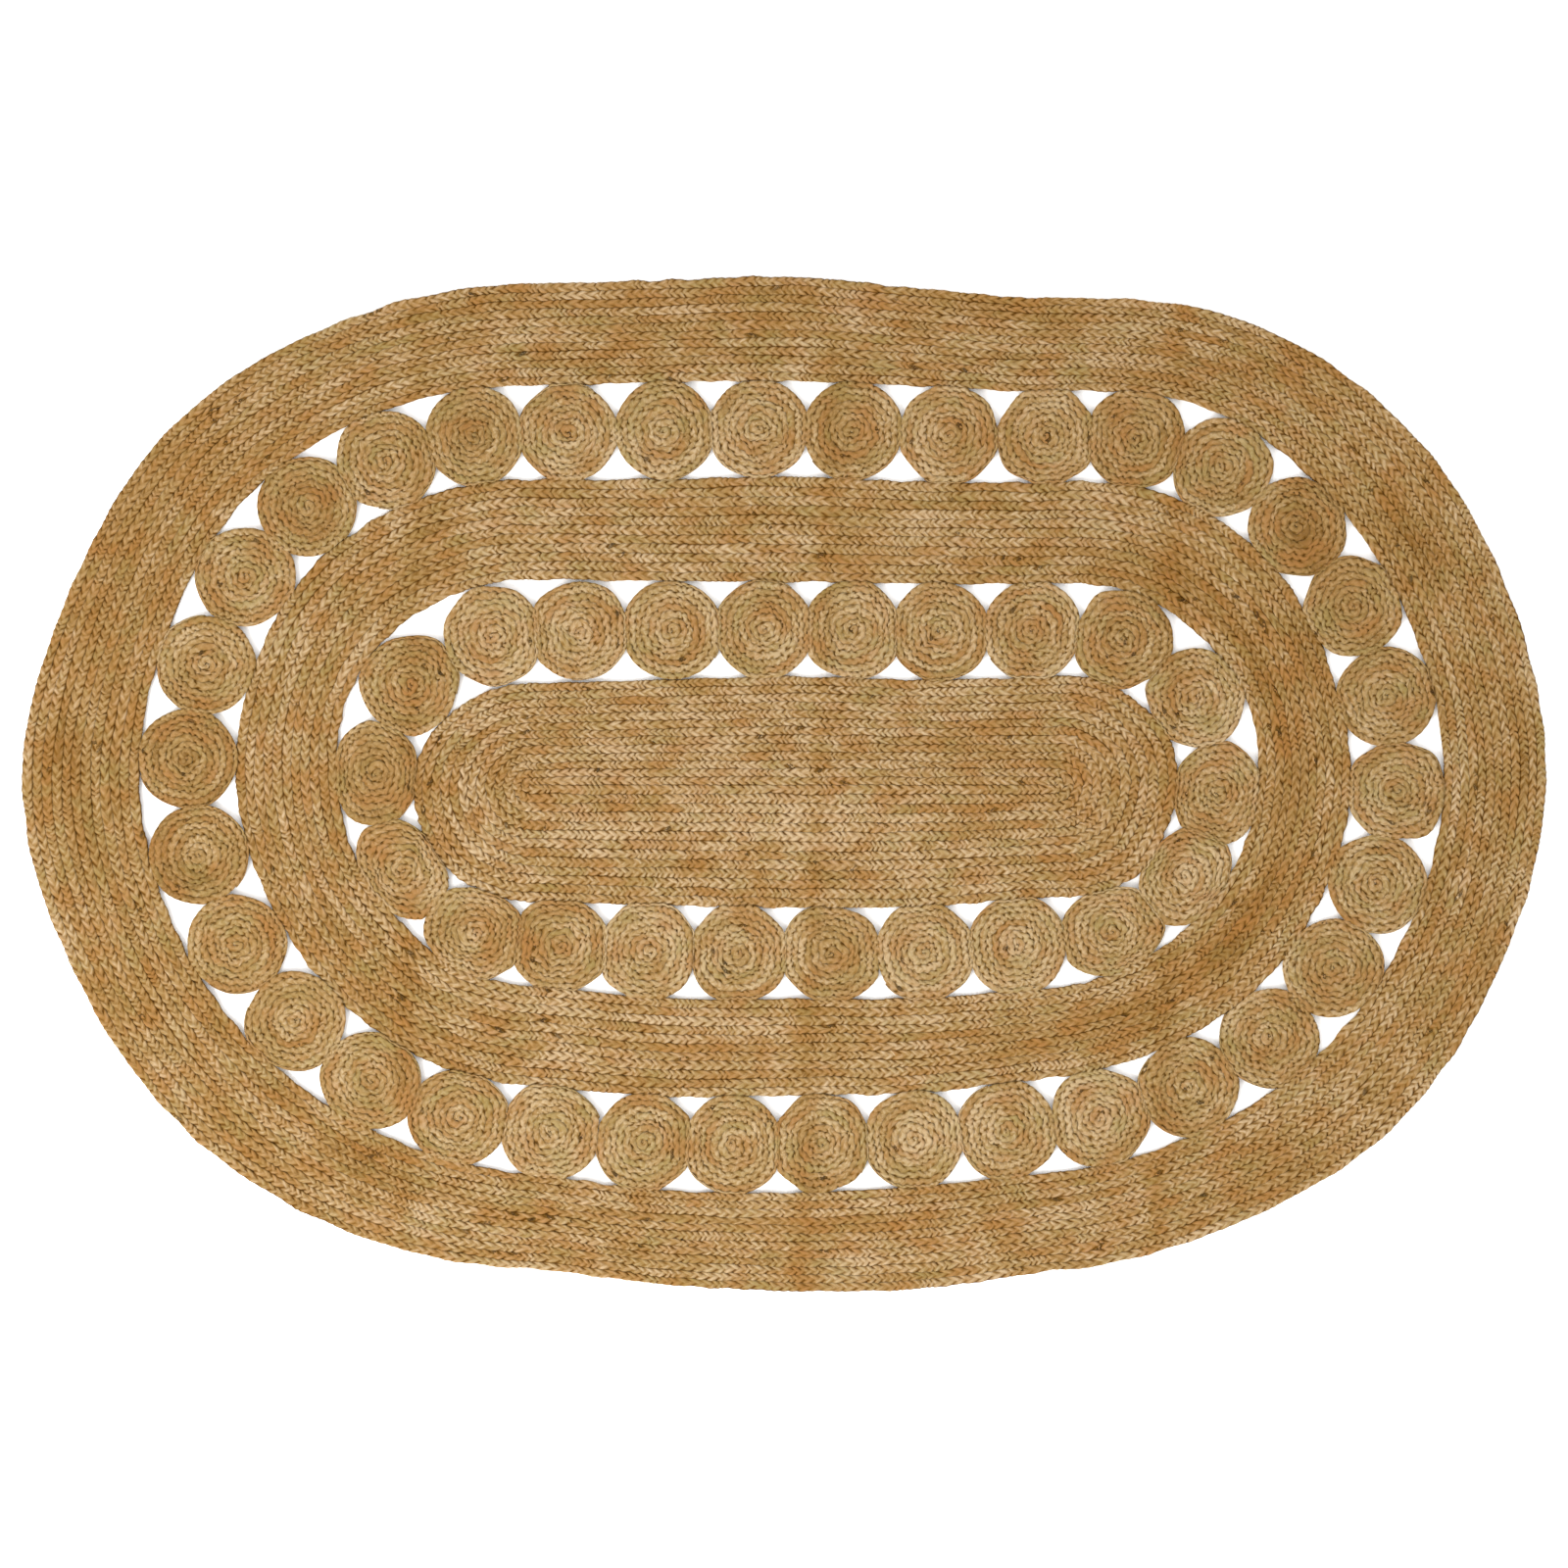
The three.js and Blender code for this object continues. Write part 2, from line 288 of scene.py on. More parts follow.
# Soft patches: each row is x, y, half_x, half_y, shade and warmth.
# The patches are partly the jute's own uneven tone and partly painted light and shade, such as the
# lighter middle and the darker left end.
TONE_MARKS = (
    ToneMark(0.614, 0.302, 0.048, 0.058, 0.95, 0.40),
    ToneMark(0.628, 0.262, 0.032, 0.034, 0.60, 0.30),
    ToneMark(0.672, 0.220, 0.045, 0.050, 0.40, 0.15),
    ToneMark(0.467, 0.262, 0.050, 0.035, 0.40, 0.35),
    ToneMark(0.270, 0.190, 0.050, 0.045, 0.20, 0.25),
    ToneMark(-0.410, 0.305, 0.028, 0.045, 0.60, 0.20),
    ToneMark(-0.700, 0.105, 0.040, 0.040, 0.25, 0.00),
    ToneMark(-0.700, -0.108, 0.045, 0.045, 0.40, 0.00),
    ToneMark(-0.781, 0.294, 0.040, 0.040, 0.45, 0.40),
    ToneMark(-0.783, -0.240, 0.055, 0.030, 0.50, 0.30),
    ToneMark(-0.845, -0.185, 0.025, 0.040, -0.40, -0.25),
    ToneMark(-0.070, -0.285, 0.060, 0.025, -0.50, -0.10),
    ToneMark(0.123, 0.448, 0.040, 0.030, -0.25, 0.00),
    ToneMark(0.865, 0.010, 0.030, 0.050, 0.45, 0.15),
    ToneMark(0.410, 0.418, 0.058, 0.050, 0.50, 0.25),
    ToneMark(0.069, 0.428, 0.035, 0.050, 0.30, 0.15),
    ToneMark(0.230, 0.415, 0.160, 0.050, 0.15, 0.25),
    ToneMark(-0.378, 0.418, 0.045, 0.050, 0.50, 0.10),
    ToneMark(-0.560, 0.338, 0.045, 0.045, 0.25, 0.10),
    ToneMark(-0.705, 0.035, 0.050, 0.090, 0.40, 0.20),
    ToneMark(-0.615, -0.225, 0.070, 0.075, 0.30, 0.15),
    ToneMark(-0.480, 0.010, 0.050, 0.055, 0.75, 0.35),
    ToneMark(-0.440, 0.140, 0.040, 0.040, 0.30, 0.10),
    ToneMark(-0.410, -0.159, 0.035, 0.035, 0.40, 0.10),
    ToneMark(0.055, -0.200, 0.032, 0.050, 0.45, 0.15),
    ToneMark(-0.300, -0.194, 0.055, 0.045, 0.25, 0.35),
    ToneMark(0.200, -0.412, 0.085, 0.045, -0.45, -0.10),
    ToneMark(0.367, -0.394, 0.050, 0.045, -0.40, 0.00),
    ToneMark(-0.239, -0.412, 0.040, 0.045, 0.30, 0.05),
    ToneMark(0.575, -0.322, 0.050, 0.045, 0.35, 0.05),
    ToneMark(0.693, -0.010, 0.045, 0.040, -0.50, -0.20),
    ToneMark(0.666, -0.087, 0.040, 0.040, 0.30, 0.05),
    ToneMark(-0.347, 0.184, 0.045, 0.045, -0.35, -0.10),
    ToneMark(0.476, -0.105, 0.045, 0.045, -0.30, 0.00),
    ToneMark(-0.080, -0.204, 0.090, 0.045, -0.30, -0.10),
    ToneMark(0.165, -0.198, 0.045, 0.045, -0.35, -0.10),
    ToneMark(-0.110, 0.410, 0.120, 0.045, -0.20, -0.15),
    ToneMark(0.340, -0.286, 0.090, 0.030, 0.40, 0.20),
    ToneMark(0.412, -0.240, 0.060, 0.030, -0.40, -0.10),
    ToneMark(0.345, 0.298, 0.150, 0.030, -0.40, -0.20),
    ToneMark(0.105, 0.280, 0.040, 0.045, 0.20, 0.40),
    ToneMark(-0.310, 0.310, 0.100, 0.040, -0.20, 0.00),
    ToneMark(-0.582, 0.166, 0.020, 0.070, -0.40, -0.20),
    ToneMark(-0.130, -0.318, 0.080, 0.025, 0.10, 0.45),
    # Painted light: the middle of the rug lighter.
    ToneMark(-0.020, 0.000, 0.450, 0.160, -0.18, 0.00),
    ToneMark(-0.060, 0.000, 0.160, 0.100, -0.15, -0.10),
    ToneMark(-0.230, -0.070, 0.100, 0.030, -0.30, -0.15),
    ToneMark(0.159, 0.093, 0.070, 0.025, -0.30, -0.15),
    ToneMark(-0.170, -0.098, 0.170, 0.012, 0.30, 0.00),
    ToneMark(-0.200, -0.004, 0.150, 0.030, 0.05, 0.45),
    ToneMark(0.340, 0.000, 0.120, 0.060, 0.15, 0.35),
    # Painted shade: the left end darker.
    ToneMark(-0.750, 0.000, 0.180, 0.400, 0.12, 0.05),
    ToneMark(-0.850, 0.040, 0.030, 0.045, 0.70, 0.25),
    ToneMark(-0.820, 0.190, 0.030, 0.060, 0.50, 0.40),
    ToneMark(-0.840, -0.105, 0.028, 0.050, 0.55, 0.15),
    ToneMark(-0.691, 0.388, 0.070, 0.050, 0.35, 0.40),
    ToneMark(-0.501, -0.449, 0.050, 0.035, 0.45, 0.15),
    ToneMark(-0.438, -0.521, 0.050, 0.030, -0.60, -0.25),
    ToneMark(0.100, 0.570, 0.420, 0.028, 0.15, 0.40),
    ToneMark(0.069, 0.564, 0.030, 0.040, -0.60, -0.40),
    ToneMark(0.605, 0.510, 0.080, 0.035, 0.60, 0.35),
    ToneMark(0.738, 0.293, 0.040, 0.060, 0.60, 0.35),
    ToneMark(0.830, 0.050, 0.050, 0.300, 0.25, 0.05),
    ToneMark(0.795, 0.002, 0.018, 0.090, -0.50, -0.25),
    ToneMark(0.566, -0.449, 0.080, 0.040, 0.40, 0.25),
    ToneMark(0.770, -0.262, 0.050, 0.050, 0.45, 0.10),
    ToneMark(0.110, -0.550, 0.090, 0.035, -0.25, 0.10),
    ToneMark(0.100, -0.522, 0.180, 0.018, 0.20, 0.35),
    ToneMark(-0.347, 0.193, 0.045, 0.045, 0.22, 0.10),
    ToneMark(-0.447, 0.094, 0.035, 0.050, 0.20, 0.12),
    ToneMark(-0.492, -0.080, 0.030, 0.060, 0.25, 0.20),
    ToneMark(-0.420, -0.250, 0.040, 0.050, 0.20, 0.05),
    ToneMark(0.403, 0.184, 0.055, 0.045, 0.35, 0.10),
    ToneMark(0.322, 0.320, 0.045, 0.035, 0.22, 0.15),
    ToneMark(0.675, 0.230, 0.045, 0.055, 0.25, 0.05),
    ToneMark(0.711, 0.004, 0.060, 0.060, 0.28, 0.00),
    ToneMark(0.557, 0.257, 0.045, 0.055, -0.25, -0.15),
    ToneMark(0.140, -0.015, 0.060, 0.050, 0.15, 0.08),
    ToneMark(-0.474, 0.402, 0.045, 0.045, 0.18, 0.00),
    ToneMark(-0.150, 0.425, 0.060, 0.040, 0.18, 0.05),
    ToneMark(0.268, -0.410, 0.055, 0.045, 0.20, 0.00),
    ToneMark(-0.781, 0.017, 0.060, 0.050, 0.15, 0.00),
    ToneMark(0.800, -0.010, 0.090, 0.170, 0.14, -0.05),
    ToneMark(-0.240, -0.290, 0.110, 0.050, -0.14, -0.08),
    ToneMark(-0.090, -0.050, 0.070, 0.060, -0.12, -0.05),
    ToneMark(-0.800, 0.250, 0.050, 0.060, 0.00, 0.18),
    ToneMark(-0.763, 0.331, 0.050, 0.035, 0.25, 0.15),
    ToneMark(-0.619, 0.480, 0.070, 0.040, 0.15, 0.12),
    ToneMark(-0.790, -0.070, 0.040, 0.060, 0.15, 0.00),
    ToneMark(-0.485, -0.100, 0.030, 0.070, 0.15, 0.15),
    ToneMark(0.684, 0.184, 0.040, 0.040, 0.20, 0.00),
    ToneMark(0.458, 0.302, 0.045, 0.030, 0.20, 0.05),
    ToneMark(0.702, -0.367, 0.050, 0.050, 0.20, 0.00),
    ToneMark(0.412, -0.222, 0.050, 0.040, 0.18, 0.00),
    ToneMark(-0.105, 0.072, 0.060, 0.030, 0.15, 0.18),
    ToneMark(0.014, -0.015, 0.040, 0.030, 0.12, 0.00),
    ToneMark(0.340, 0.290, 0.050, 0.050, 0.00, 0.15),
    ToneMark(0.325, 0.195, 0.050, 0.040, 0.00, 0.18),
    ToneMark(0.467, -0.286, 0.060, 0.035, -0.20, -0.10),
    ToneMark(0.060, -0.545, 0.050, 0.030, -0.20, 0.00),
    ToneMark(0.503, -0.430, 0.040, 0.050, -0.15, 0.00),
    ToneMark(0.421, 0.246, 0.030, 0.030, 0.00, -0.20),
    ToneMark(0.756, 0.246, 0.050, 0.050, 0.00, -0.15),
    ToneMark(-0.347, -0.260, 0.050, 0.040, -0.10, -0.15),
    ToneMark(0.270, 0.560, 0.110, 0.025, 0.03, 0.18),
    ToneMark(-0.420, 0.570, 0.070, 0.030, 0.03, 0.15),
    ToneMark(-0.600, 0.430, 0.060, 0.040, 0.03, 0.15),
    ToneMark(0.376, 0.302, 0.070, 0.035, 0.05, 0.15),
    ToneMark(-0.239, 0.155, 0.035, 0.025, 0.10, 0.22),
    ToneMark(-0.474, -0.140, 0.025, 0.050, 0.05, 0.15),
    ToneMark(-0.600, 0.057, 0.035, 0.030, 0.10, 0.15),
    ToneMark(-0.094, 0.050, 0.045, 0.030, 0.05, 0.15),
    ToneMark(-0.817, 0.049, 0.030, 0.030, 0.18, 0.00),
)
# Stretches of rows: each is end, radius, half_depth, angle, half_angle, shade and warmth.
ARC_MARKS = (
    ArcMark(1, 0.290, 0.024, 0, 80, 0.60, 0.40),
    ArcMark(1, 0.345, 0.022, 30, 24, 0.55, 0.15),
    ArcMark(1, 0.290, 0.024, -38, 14, 0.45, 0.10),
    ArcMark(-1, 0.250, 0.010, 180, 70, -0.20, 0.0),
    ArcMark(-1, 0.340, 0.014, 180, 60, 0.15, 0.15),
    ArcMark(1, 0.506, 0.0032, -3, 12, -0.60, -0.15),
    ArcMark(-1, 0.090, 0.0032, 195, 22, -0.50, -0.10),
)


@dataclass(frozen=True)
class LieOfTheRug:
    """How the rug lies: the ridges of old folds and a slight swell, never below the floor."""

    ridges: tuple[Ridge, ...] = FOLD_RIDGES
    half_depth: float = 0.6
    swell: float = 0.0003
    swell_length: float = 0.23
    swell_skew: tuple[float, float] = (0.4, 0.3)

    def height(self, x: np.ndarray, y: np.ndarray) -> np.ndarray:
        """How far the rug is lifted off the floor at each point.

        Args:
            x: X of the points.
            y: Y of the points.

        Returns:
            The lift in metres.
        """
        turn = 2 * np.pi / self.swell_length
        across = np.sin(turn * (x + self.swell_skew[0] * y))
        lift = self.swell * (1 + across * np.sin(turn * (y - self.swell_skew[1] * x)))
        for ridge in self.ridges:
            lift = lift + ridge.height * self.mark(ridge, x, y)
        return lift

    def mark(self, ridge: Ridge, x: np.ndarray, y: np.ndarray) -> np.ndarray:
        """How strongly one fold shows at each point, from 0 to 1."""
        share = (self.half_depth - y) / (2 * self.half_depth)
        line = ridge.top_x + (ridge.bottom_x - ridge.top_x) * share
        return np.exp(-(((x - line) / ridge.half_width) ** 2))


@dataclass(frozen=True)
class RugTones:
    """Where the rug's jute is darker or warmer: painted shade along the folds, and soft patches that
    are partly its own uneven tone and partly painted light and shade.
    """

    lie: LieOfTheRug
    marks: tuple[ToneMark | ArcMark, ...] = TONE_MARKS + ARC_MARKS
    # Painted shade along each fold ridge: how much darker and how much warmer.
    fold_painted_shade: float = 0.36
    fold_shade_warmth: float = 0.25

    def tones(self, x: np.ndarray, y: np.ndarray) -> tuple[np.ndarray, np.ndarray]:
        """The jute's shade and warmth at each point.

        Args:
            x: X of the points.
            y: Y of the points.

        Returns:
            The shade and the warmth, 0 where the jute is plain.
        """
        shade = np.zeros_like(x)
        warmth = np.zeros_like(x)
        # Painted shade along the folds.
        for ridge in self.lie.ridges:
            mark = self.lie.mark(ridge, x, y)
            shade += self.fold_painted_shade * mark
            warmth += self.fold_shade_warmth * mark
        for patch in self.marks:
            mark = patch.strength(x, y)
            shade += patch.shade * mark
            warmth += patch.warmth * mark
        return shade, warmth


@dataclass(frozen=True)
class PlaitPattern:
    """One pitch of plait as a grid: lines along the plait, and samples along each line.

    A lobe is what shows of a strand as it crosses. Each side of the middle line has its
    own file of lobes, half a pitch apart.
    """

    lines: tuple[float, ...]
    crowns: tuple[float, ...]
    dips: tuple[float, ...]
    # The painted shade that each line gets in the plait's hollows.
    hollows: tuple[float, ...]
    samples: int
    slant: float
    shoulder_pull: float
    shoulder_dip: float
    # How much painted shade the lobes' shoulders get.
    shoulder_shade: float
    weave_in: float
    edge_bulge: float
    pitch: float
    lobe_lift: float
    base_share: float
    uneven: float
    groove_change: float
    faint_groove: float
    groove_power: float
    pitch_spread: float = 0.06
    crest_reach: float = 0.1

    def phase(self, sample: np.ndarray, second_file: np.ndarray) -> np.ndarray:
        """How far a sample is through its lobe, from 0 to 1."""
        return (sample / self.samples + 0.5 * second_file) % 1

    def pulled(self, phase: np.ndarray) -> np.ndarray:
        """The phase with a lobe's shoulders pulled out towards its two ends."""
        return phase - self.shoulder_pull * np.sin(2 * np.pi * phase)

    def grid(self) -> tuple[np.ndarray, np.ndarray, np.ndarray, np.ndarray]:
        """The grid of one pitch.

        Returns:
            Along in pitches, across in half widths, the height in metres and how much painted shade
            each sample gets in the plait's hollows from 0 to 1, each as an array of lines by samples.
        """
        line = np.array(self.lines)[:, None]
        sample = np.arange(self.samples)[None, :]
        phase = self.phase(sample, line < 0)
        on_file = line != 0
        along = sample / self.samples + (self.pulled(phase) - phase) * on_file
        along = along + self.slant * np.abs(line)
        woven = self.weave_in * np.cos(2 * np.pi * sample / self.samples)
        bulge = self.edge_bulge * (1 - np.cos(2 * np.pi * phase)) / 2 * np.sign(line)
        across = line + np.where(on_file, np.where(np.abs(line) == 1, bulge, 0), woven)
        shoulder = np.abs(phase - 0.5) > self.crest_reach
        sunk = np.where(phase == 0, 1, self.shoulder_dip * shoulder)
        # Painted shade: full in the groove between lobes, and partly on the lobes' shoulders.
        deep = np.where(phase == 0, 1, self.shoulder_shade * shoulder) * on_file
        height = np.array(self.crowns)[:, None] - np.array(self.dips)[:, None] * sunk
        hollow = np.maximum(np.array(self.hollows)[:, None], deep)
        return along, across, height, hollow


FLAT_PLAIT = PlaitPattern(
    lines=(-1, -0.70, -0.32, 0, 0.32, 0.70, 1),
    crowns=(0.0061, 0.0075, 0.0077, 0.0062, 0.0077, 0.0075, 0.0061),
    dips=(0.0011, 0.0032, 0.0032, 0, 0.0032, 0.0032, 0.0011),
    hollows=(0.30, 0, 0, 0.32, 0, 0, 0.30),
    samples=4,
    slant=-0.52,
    shoulder_pull=0.02,
    shoulder_dip=0.42,
    shoulder_shade=0.28,
    weave_in=0.20,
    edge_bulge=0.12,
    pitch=0.0097,
    lobe_lift=0.00035,
    base_share=0.15,
    uneven=0.52,
    groove_change=0.40,
    faint_groove=0.55,
    groove_power=1.4,
)
BAND_PLAIT = replace(FLAT_PLAIT, pitch=0.0108)
COIL_PLAIT = replace(
    FLAT_PLAIT,
    lines=(-1, -0.5, 0, 0.5, 1),
    crowns=(0.0083, 0.0086, 0.0084, 0.0086, 0.0083),
    dips=(0.0010, 0.0032, 0, 0.0032, 0.0010),
    hollows=(0.04, 0, 0.04, 0, 0.04),
    slant=0.24,
    shoulder_dip=0.40,
    shoulder_shade=0.22,
    weave_in=0.24,
    pitch=0.0100,
    uneven=0.40,
    groove_change=0.12,
    faint_groove=0.35,
    groove_power=1.3,
)


class Maps(Enum):
    """The names of what a plait's mesh carries for its material."""

    FIBRE = "fibre_map"
    STRAND = "strand_map"
    SHADE = "shade"
    WARMTH = "warmth"
    # How much painted shade each point gets, deepest in the plait's hollows.
    HOLLOW_SHADE = "hollow"


class PlaitMesh:
    """Collects runs of plait, and makes one mesh of them.

    Each run is a closed skin: its lobes on top, a narrow flat base below and two sides.
    """

    slow_waves = 6
    slowest = 22

    def __init__(self, pattern: PlaitPattern, lie: LieOfTheRug, seed: int) -> None:
        """Starts an empty mesh.

        Args:
            pattern: How the plait is drawn.
            lie: How the rug lies on the floor.
            seed: The start of the piece's own run of chance.
        """
        self.pattern = pattern
        self.lie = lie
        self.chance = np.random.default_rng(seed)
        self.points: list[np.ndarray] = []
        self.hollows: list[np.ndarray] = []
        self.quads: list[np.ndarray] = []
        self.triangles: list[np.ndarray] = []
        self.caps: list[list[int]] = []
        self.rounded: list[np.ndarray] = []
        self.quad_maps: list[np.ndarray] = []
        self.triangle_maps: list[np.ndarray] = []
        self.cap_maps: list[np.ndarray] = []
        self.count = 0
        self.runs = 0

    def lay(self, place: Place, length: float, half_width: float, closed: bool) -> None:
        """Lays one run of plait.

        Args:
            place: Gives X and Y for metres along the run and half widths across it.
            length: The run's length along its middle.
            half_width: Half the usual width of the plait.
            closed: True if the run joins up with its own start.
        """
        pattern = self.pattern
        spread = self.chance.uniform(1 - pattern.pitch_spread, 1 + pattern.pitch_spread)
        pairs = max(round(length / pattern.pitch / 2 * spread), 1)
        pitches = 2 * pairs
        per_pitch = pattern.samples
        samples = pitches * per_pitch + (0 if closed else 1)
        lines = len(pattern.lines)
        along, across, height, hollow = pattern.grid()
        step = np.arange(samples)
        turn, sample = step // per_pitch, step % per_pitch
        joints = self.joints(pitches, length)
        counted = turn[None, :] + along[:, sample]
        counted = counted % pitches if closed else np.clip(counted, 0, pitches)
        metres = np.interp(counted, np.arange(pitches + 1), joints)
        half_files = self.second_file_lines() * (per_pitch // 2)
        lobe = (step[None, :] - half_files[:, None]) // per_pitch % pitches
        lift = self.chance.normal(0, pattern.lobe_lift, (2, pitches))
        on_lobe = (step[None, :] - half_files[:, None]) % per_pitch != 0
        file = (half_files > 0).astype(int)[:, None]
        deeper = self.chance.uniform(0, 1, (2, pitches)) ** pattern.groove_power
        depth = pattern.faint_groove + (1 - pattern.faint_groove) * deeper
        groove = np.where(on_lobe, 1, depth[file, lobe])
        filled = np.array(pattern.dips)[:, None] * (1 - groove)
        z = height[:, sample] + filled + np.where(on_lobe, lift[file, lobe], 0)
        xy = place(metres, across[:, sample])
        top = np.concatenate([xy, z[..., None]], axis=-1).reshape(-1, 3)
        feet = pairs + (0 if closed else 1)
        foot_metres = joints[: 2 * feet : 2]
        sides = np.array([[-pattern.base_share], [pattern.base_share]])
        foot_xy = place(np.broadcast_to(foot_metres, (2, feet)), np.broadcast_to(sides, (2, feet)))
        base = np.concatenate([foot_xy, np.zeros((2, feet, 1))], axis=-1).reshape(-1, 3)
        points = np.concatenate([top, base])
        points[:, 2] += self.lie.height(points[:, 0], points[:, 1])
        grid = self.count + np.arange(lines * samples).reshape(lines, samples)
        foot = self.count + lines * samples + np.arange(2 * feet).reshape(2, feet)
        self.points.append(points)
        shaded = hollow[:, sample] * groove
        # Painted shade along each row's edges swells and fades slowly, giving darker lines between
        # some rows.
        for side in (0, -1):
            shaded[side] += pattern.groove_change * self.slow_wave(samples)
        # The shade is clipped to 0 to 1, and the base points get full painted shade.
        self.hollows.append(np.append(np.clip(shaded, 0, 1), np.ones(2 * feet)))
        self.count += len(points)
        self.skin_top(grid, closed, pitches, length, half_width)
        self.skin_under(grid, foot, closed, length, half_width)
        if not closed:
            self.close_end(grid[::-1, 0], foot[:, 0], length)
            self.close_end(grid[:, -1], foot[::-1, -1], length)
        self.runs += 1

    def joints(self, pitches: int, length: float) -> np.ndarray:
        """Where each pitch of a run starts, and the last ends, with uneven lengths."""
        uneven = 1 + self.chance.uniform(-1, 1, pitches) * self.pattern.uneven
        return np.append(0, np.cumsum(uneven)) * length / uneven.sum()

    def slow_wave(self, samples: int) -> np.ndarray:
        """A line that swells and sinks slowly along a run, mostly between -1 and 1."""
        along = np.arange(samples) / samples
        return wavering(self.chance, along, (1, self.slowest), self.slow_waves)

    def second_file_lines(self) -> np.ndarray:
        """1 for each line that belongs to the second file of lobes, and 0 for the rest."""
        return (np.array(self.pattern.lines) < 0).astype(int)

    def skin_top(
        self, grid: np.ndarray, closed: bool, pitches: int, length: float, half_width: float
    ) -> None:
        """Adds the faces of the lobes, each with its place on its fibre and its strand."""
        pattern = self.pattern
        per_pitch = pattern.samples
        following = np.roll(grid, -1, axis=1) if closed else grid[:, 1:]
        here = grid if closed else grid[:, :-1]
        corners = np.stack([here[:-1], here[1:], following[1:], following[:-1]], axis=-1)
        lines = np.array(pattern.lines)
        middle = (lines[:-1] + lines[1:]) / 2
        second = middle < 0
        step = np.arange(here.shape[1])
        offset = second[:, None] * (per_pitch // 2)
        lobe = (step[None, :] - offset) // per_pitch
        start = step[None, :] - offset - lobe * per_pitch
        phases = np.stack([start, start, start + 1, start + 1], axis=-1) / per_pitch
        strand_width = length / pitches / 2
        over = (lobe[..., None] + pattern.pulled(phases)) * strand_width
        low, high = lines[:-1, None, None], lines[1:, None, None]
        reach = np.concatenate([low, high, high, low], axis=-1) * half_width
        apart = self.runs * MAP_SPACING * half_width
        fibre = np.stack([over, np.broadcast_to(reach + apart, over.shape)], axis=-1)
        crossing = 2 * lobe + second[:, None]
        strand = crossing % STRANDS + STRANDS * self.runs
        at = (lobe + 0.5 + 0.5 * second[:, None]) * length / pitches
        strands = np.stack([at, strand.astype(float)], axis=-1)
        strands = np.broadcast_to(strands[..., None, :], fibre.shape)
        self.quads.append(corners.reshape(-1, 4))
        self.rounded.append(np.ones(corners.size // 4, dtype=bool))
        self.quad_maps.append(np.concatenate([fibre, strands], axis=-1).reshape(-1, 4, 4))

    def skin_under(
        self, grid: np.ndarray, foot: np.ndarray, closed: bool, length: float, half_width: float
    ) -> None:
        """Adds the two sides, which fan down to the base, and the base itself."""
        reach = self.pattern.samples
        samples = grid.shape[1]
        feet = foot.shape[1]
        spans = samples if closed else samples - 1
        step = np.arange(spans)
        owner = (step + reach) // (2 * reach)
        near, far = grid[:, step], grid[:, (step + 1) % samples]
        owner = owner % feet
        inside = np.stack([near[0], far[0], foot[0, owner]], axis=-1)
        outside = np.stack([far[-1], near[-1], foot[1, owner]], axis=-1)
        joint = np.arange(feet if closed else feet - 1)
        after = (joint + 1) % feet
        knot = (joint * 2 * reach + reach) % samples
        inner = np.stack([foot[0, joint], grid[0, knot], foot[0, after]], axis=-1)
        outer = np.stack([grid[-1, knot], foot[1, joint], foot[1, after]], axis=-1)
        faces = np.concatenate([inside, outside, inner, outer])
        base = np.stack([foot[0, joint], foot[0, after], foot[1, after], foot[1, joint]], axis=-1)
        self.triangles.append(faces)
        self.quads.append(base)
        self.rounded.append(np.zeros(len(base), dtype=bool))
        metres = np.concatenate([step, step, knot, knot]) * length / spans
        self.triangle_maps.append(self.plain_maps(metres, 3, half_width))
        self.quad_maps.append(self.plain_maps(joint * length / len(joint), 4, half_width))

    def plain_maps(self, metres: np.ndarray, corners: int, half_width: float) -> np.ndarray:
        """The maps of faces that belong to no lobe: along the run, and its first strand."""
        apart = self.runs * MAP_SPACING * half_width
        row = np.stack(
            [metres, np.full_like(metres, apart), metres, np.full_like(metres, STRANDS * self.runs)],
            axis=-1,
        )
        return np.broadcast_to(row[:, None, :], (len(metres), corners, 4))

    def close_end(self, across: np.ndarray, base: np.ndarray, length: float) -> None:
        """Adds the face that closes one end of an open run."""
        cap = [*across.tolist(), *base.tolist()]
        self.caps.append(cap)
        self.cap_maps.append(np.tile([length, 0.0, length, STRANDS * self.runs], (len(cap), 1)))

    def piece(self, name: str, jute_tones: RugTones, tone: float) -> bpy.types.Object:
        """Makes the object of all the runs laid so far.

        Args:
            name: The piece's name.
            jute_tones: The tones of the rug's jute.
            tone: How much darker this piece's jute is all over.

        Returns:
            The new object, linked to the scene.
        """
        points = np.concatenate(self.points)
        quads = np.concatenate(self.quads)
        triangles = np.concatenate(self.triangles)
        caps = [np.array(cap) for cap in self.caps]
        corners = np.concatenate([quads.ravel(), triangles.ravel(), *caps])
        sizes = np.concatenate(
            [np.full(len(quads), 4), np.full(len(triangles), 3), [len(cap) for cap in caps]]
        ).astype(int)
        maps = np.concatenate(
            [
                np.concatenate(self.quad_maps).reshape(-1, 4),
                np.concatenate(self.triangle_maps).reshape(-1, 4),
                *self.cap_maps,
            ]
        )
        mesh = bpy.data.meshes.new(name)
        mesh.vertices.add(len(points))
        mesh.vertices.foreach_set("co", points.ravel())
        mesh.loops.add(len(corners))
        mesh.loops.foreach_set("vertex_index", corners.astype(np.int32))
        mesh.polygons.add(len(sizes))
        starts = np.concatenate([[0], np.cumsum(sizes)[:-1]]).astype(np.int32)
        mesh.polygons.foreach_set("loop_start", starts)
        flat = np.zeros(len(triangles) + len(caps), dtype=bool)
        mesh.polygons.foreach_set("use_smooth", np.concatenate([*self.rounded, flat]))
        mesh.update(calc_edges=True)
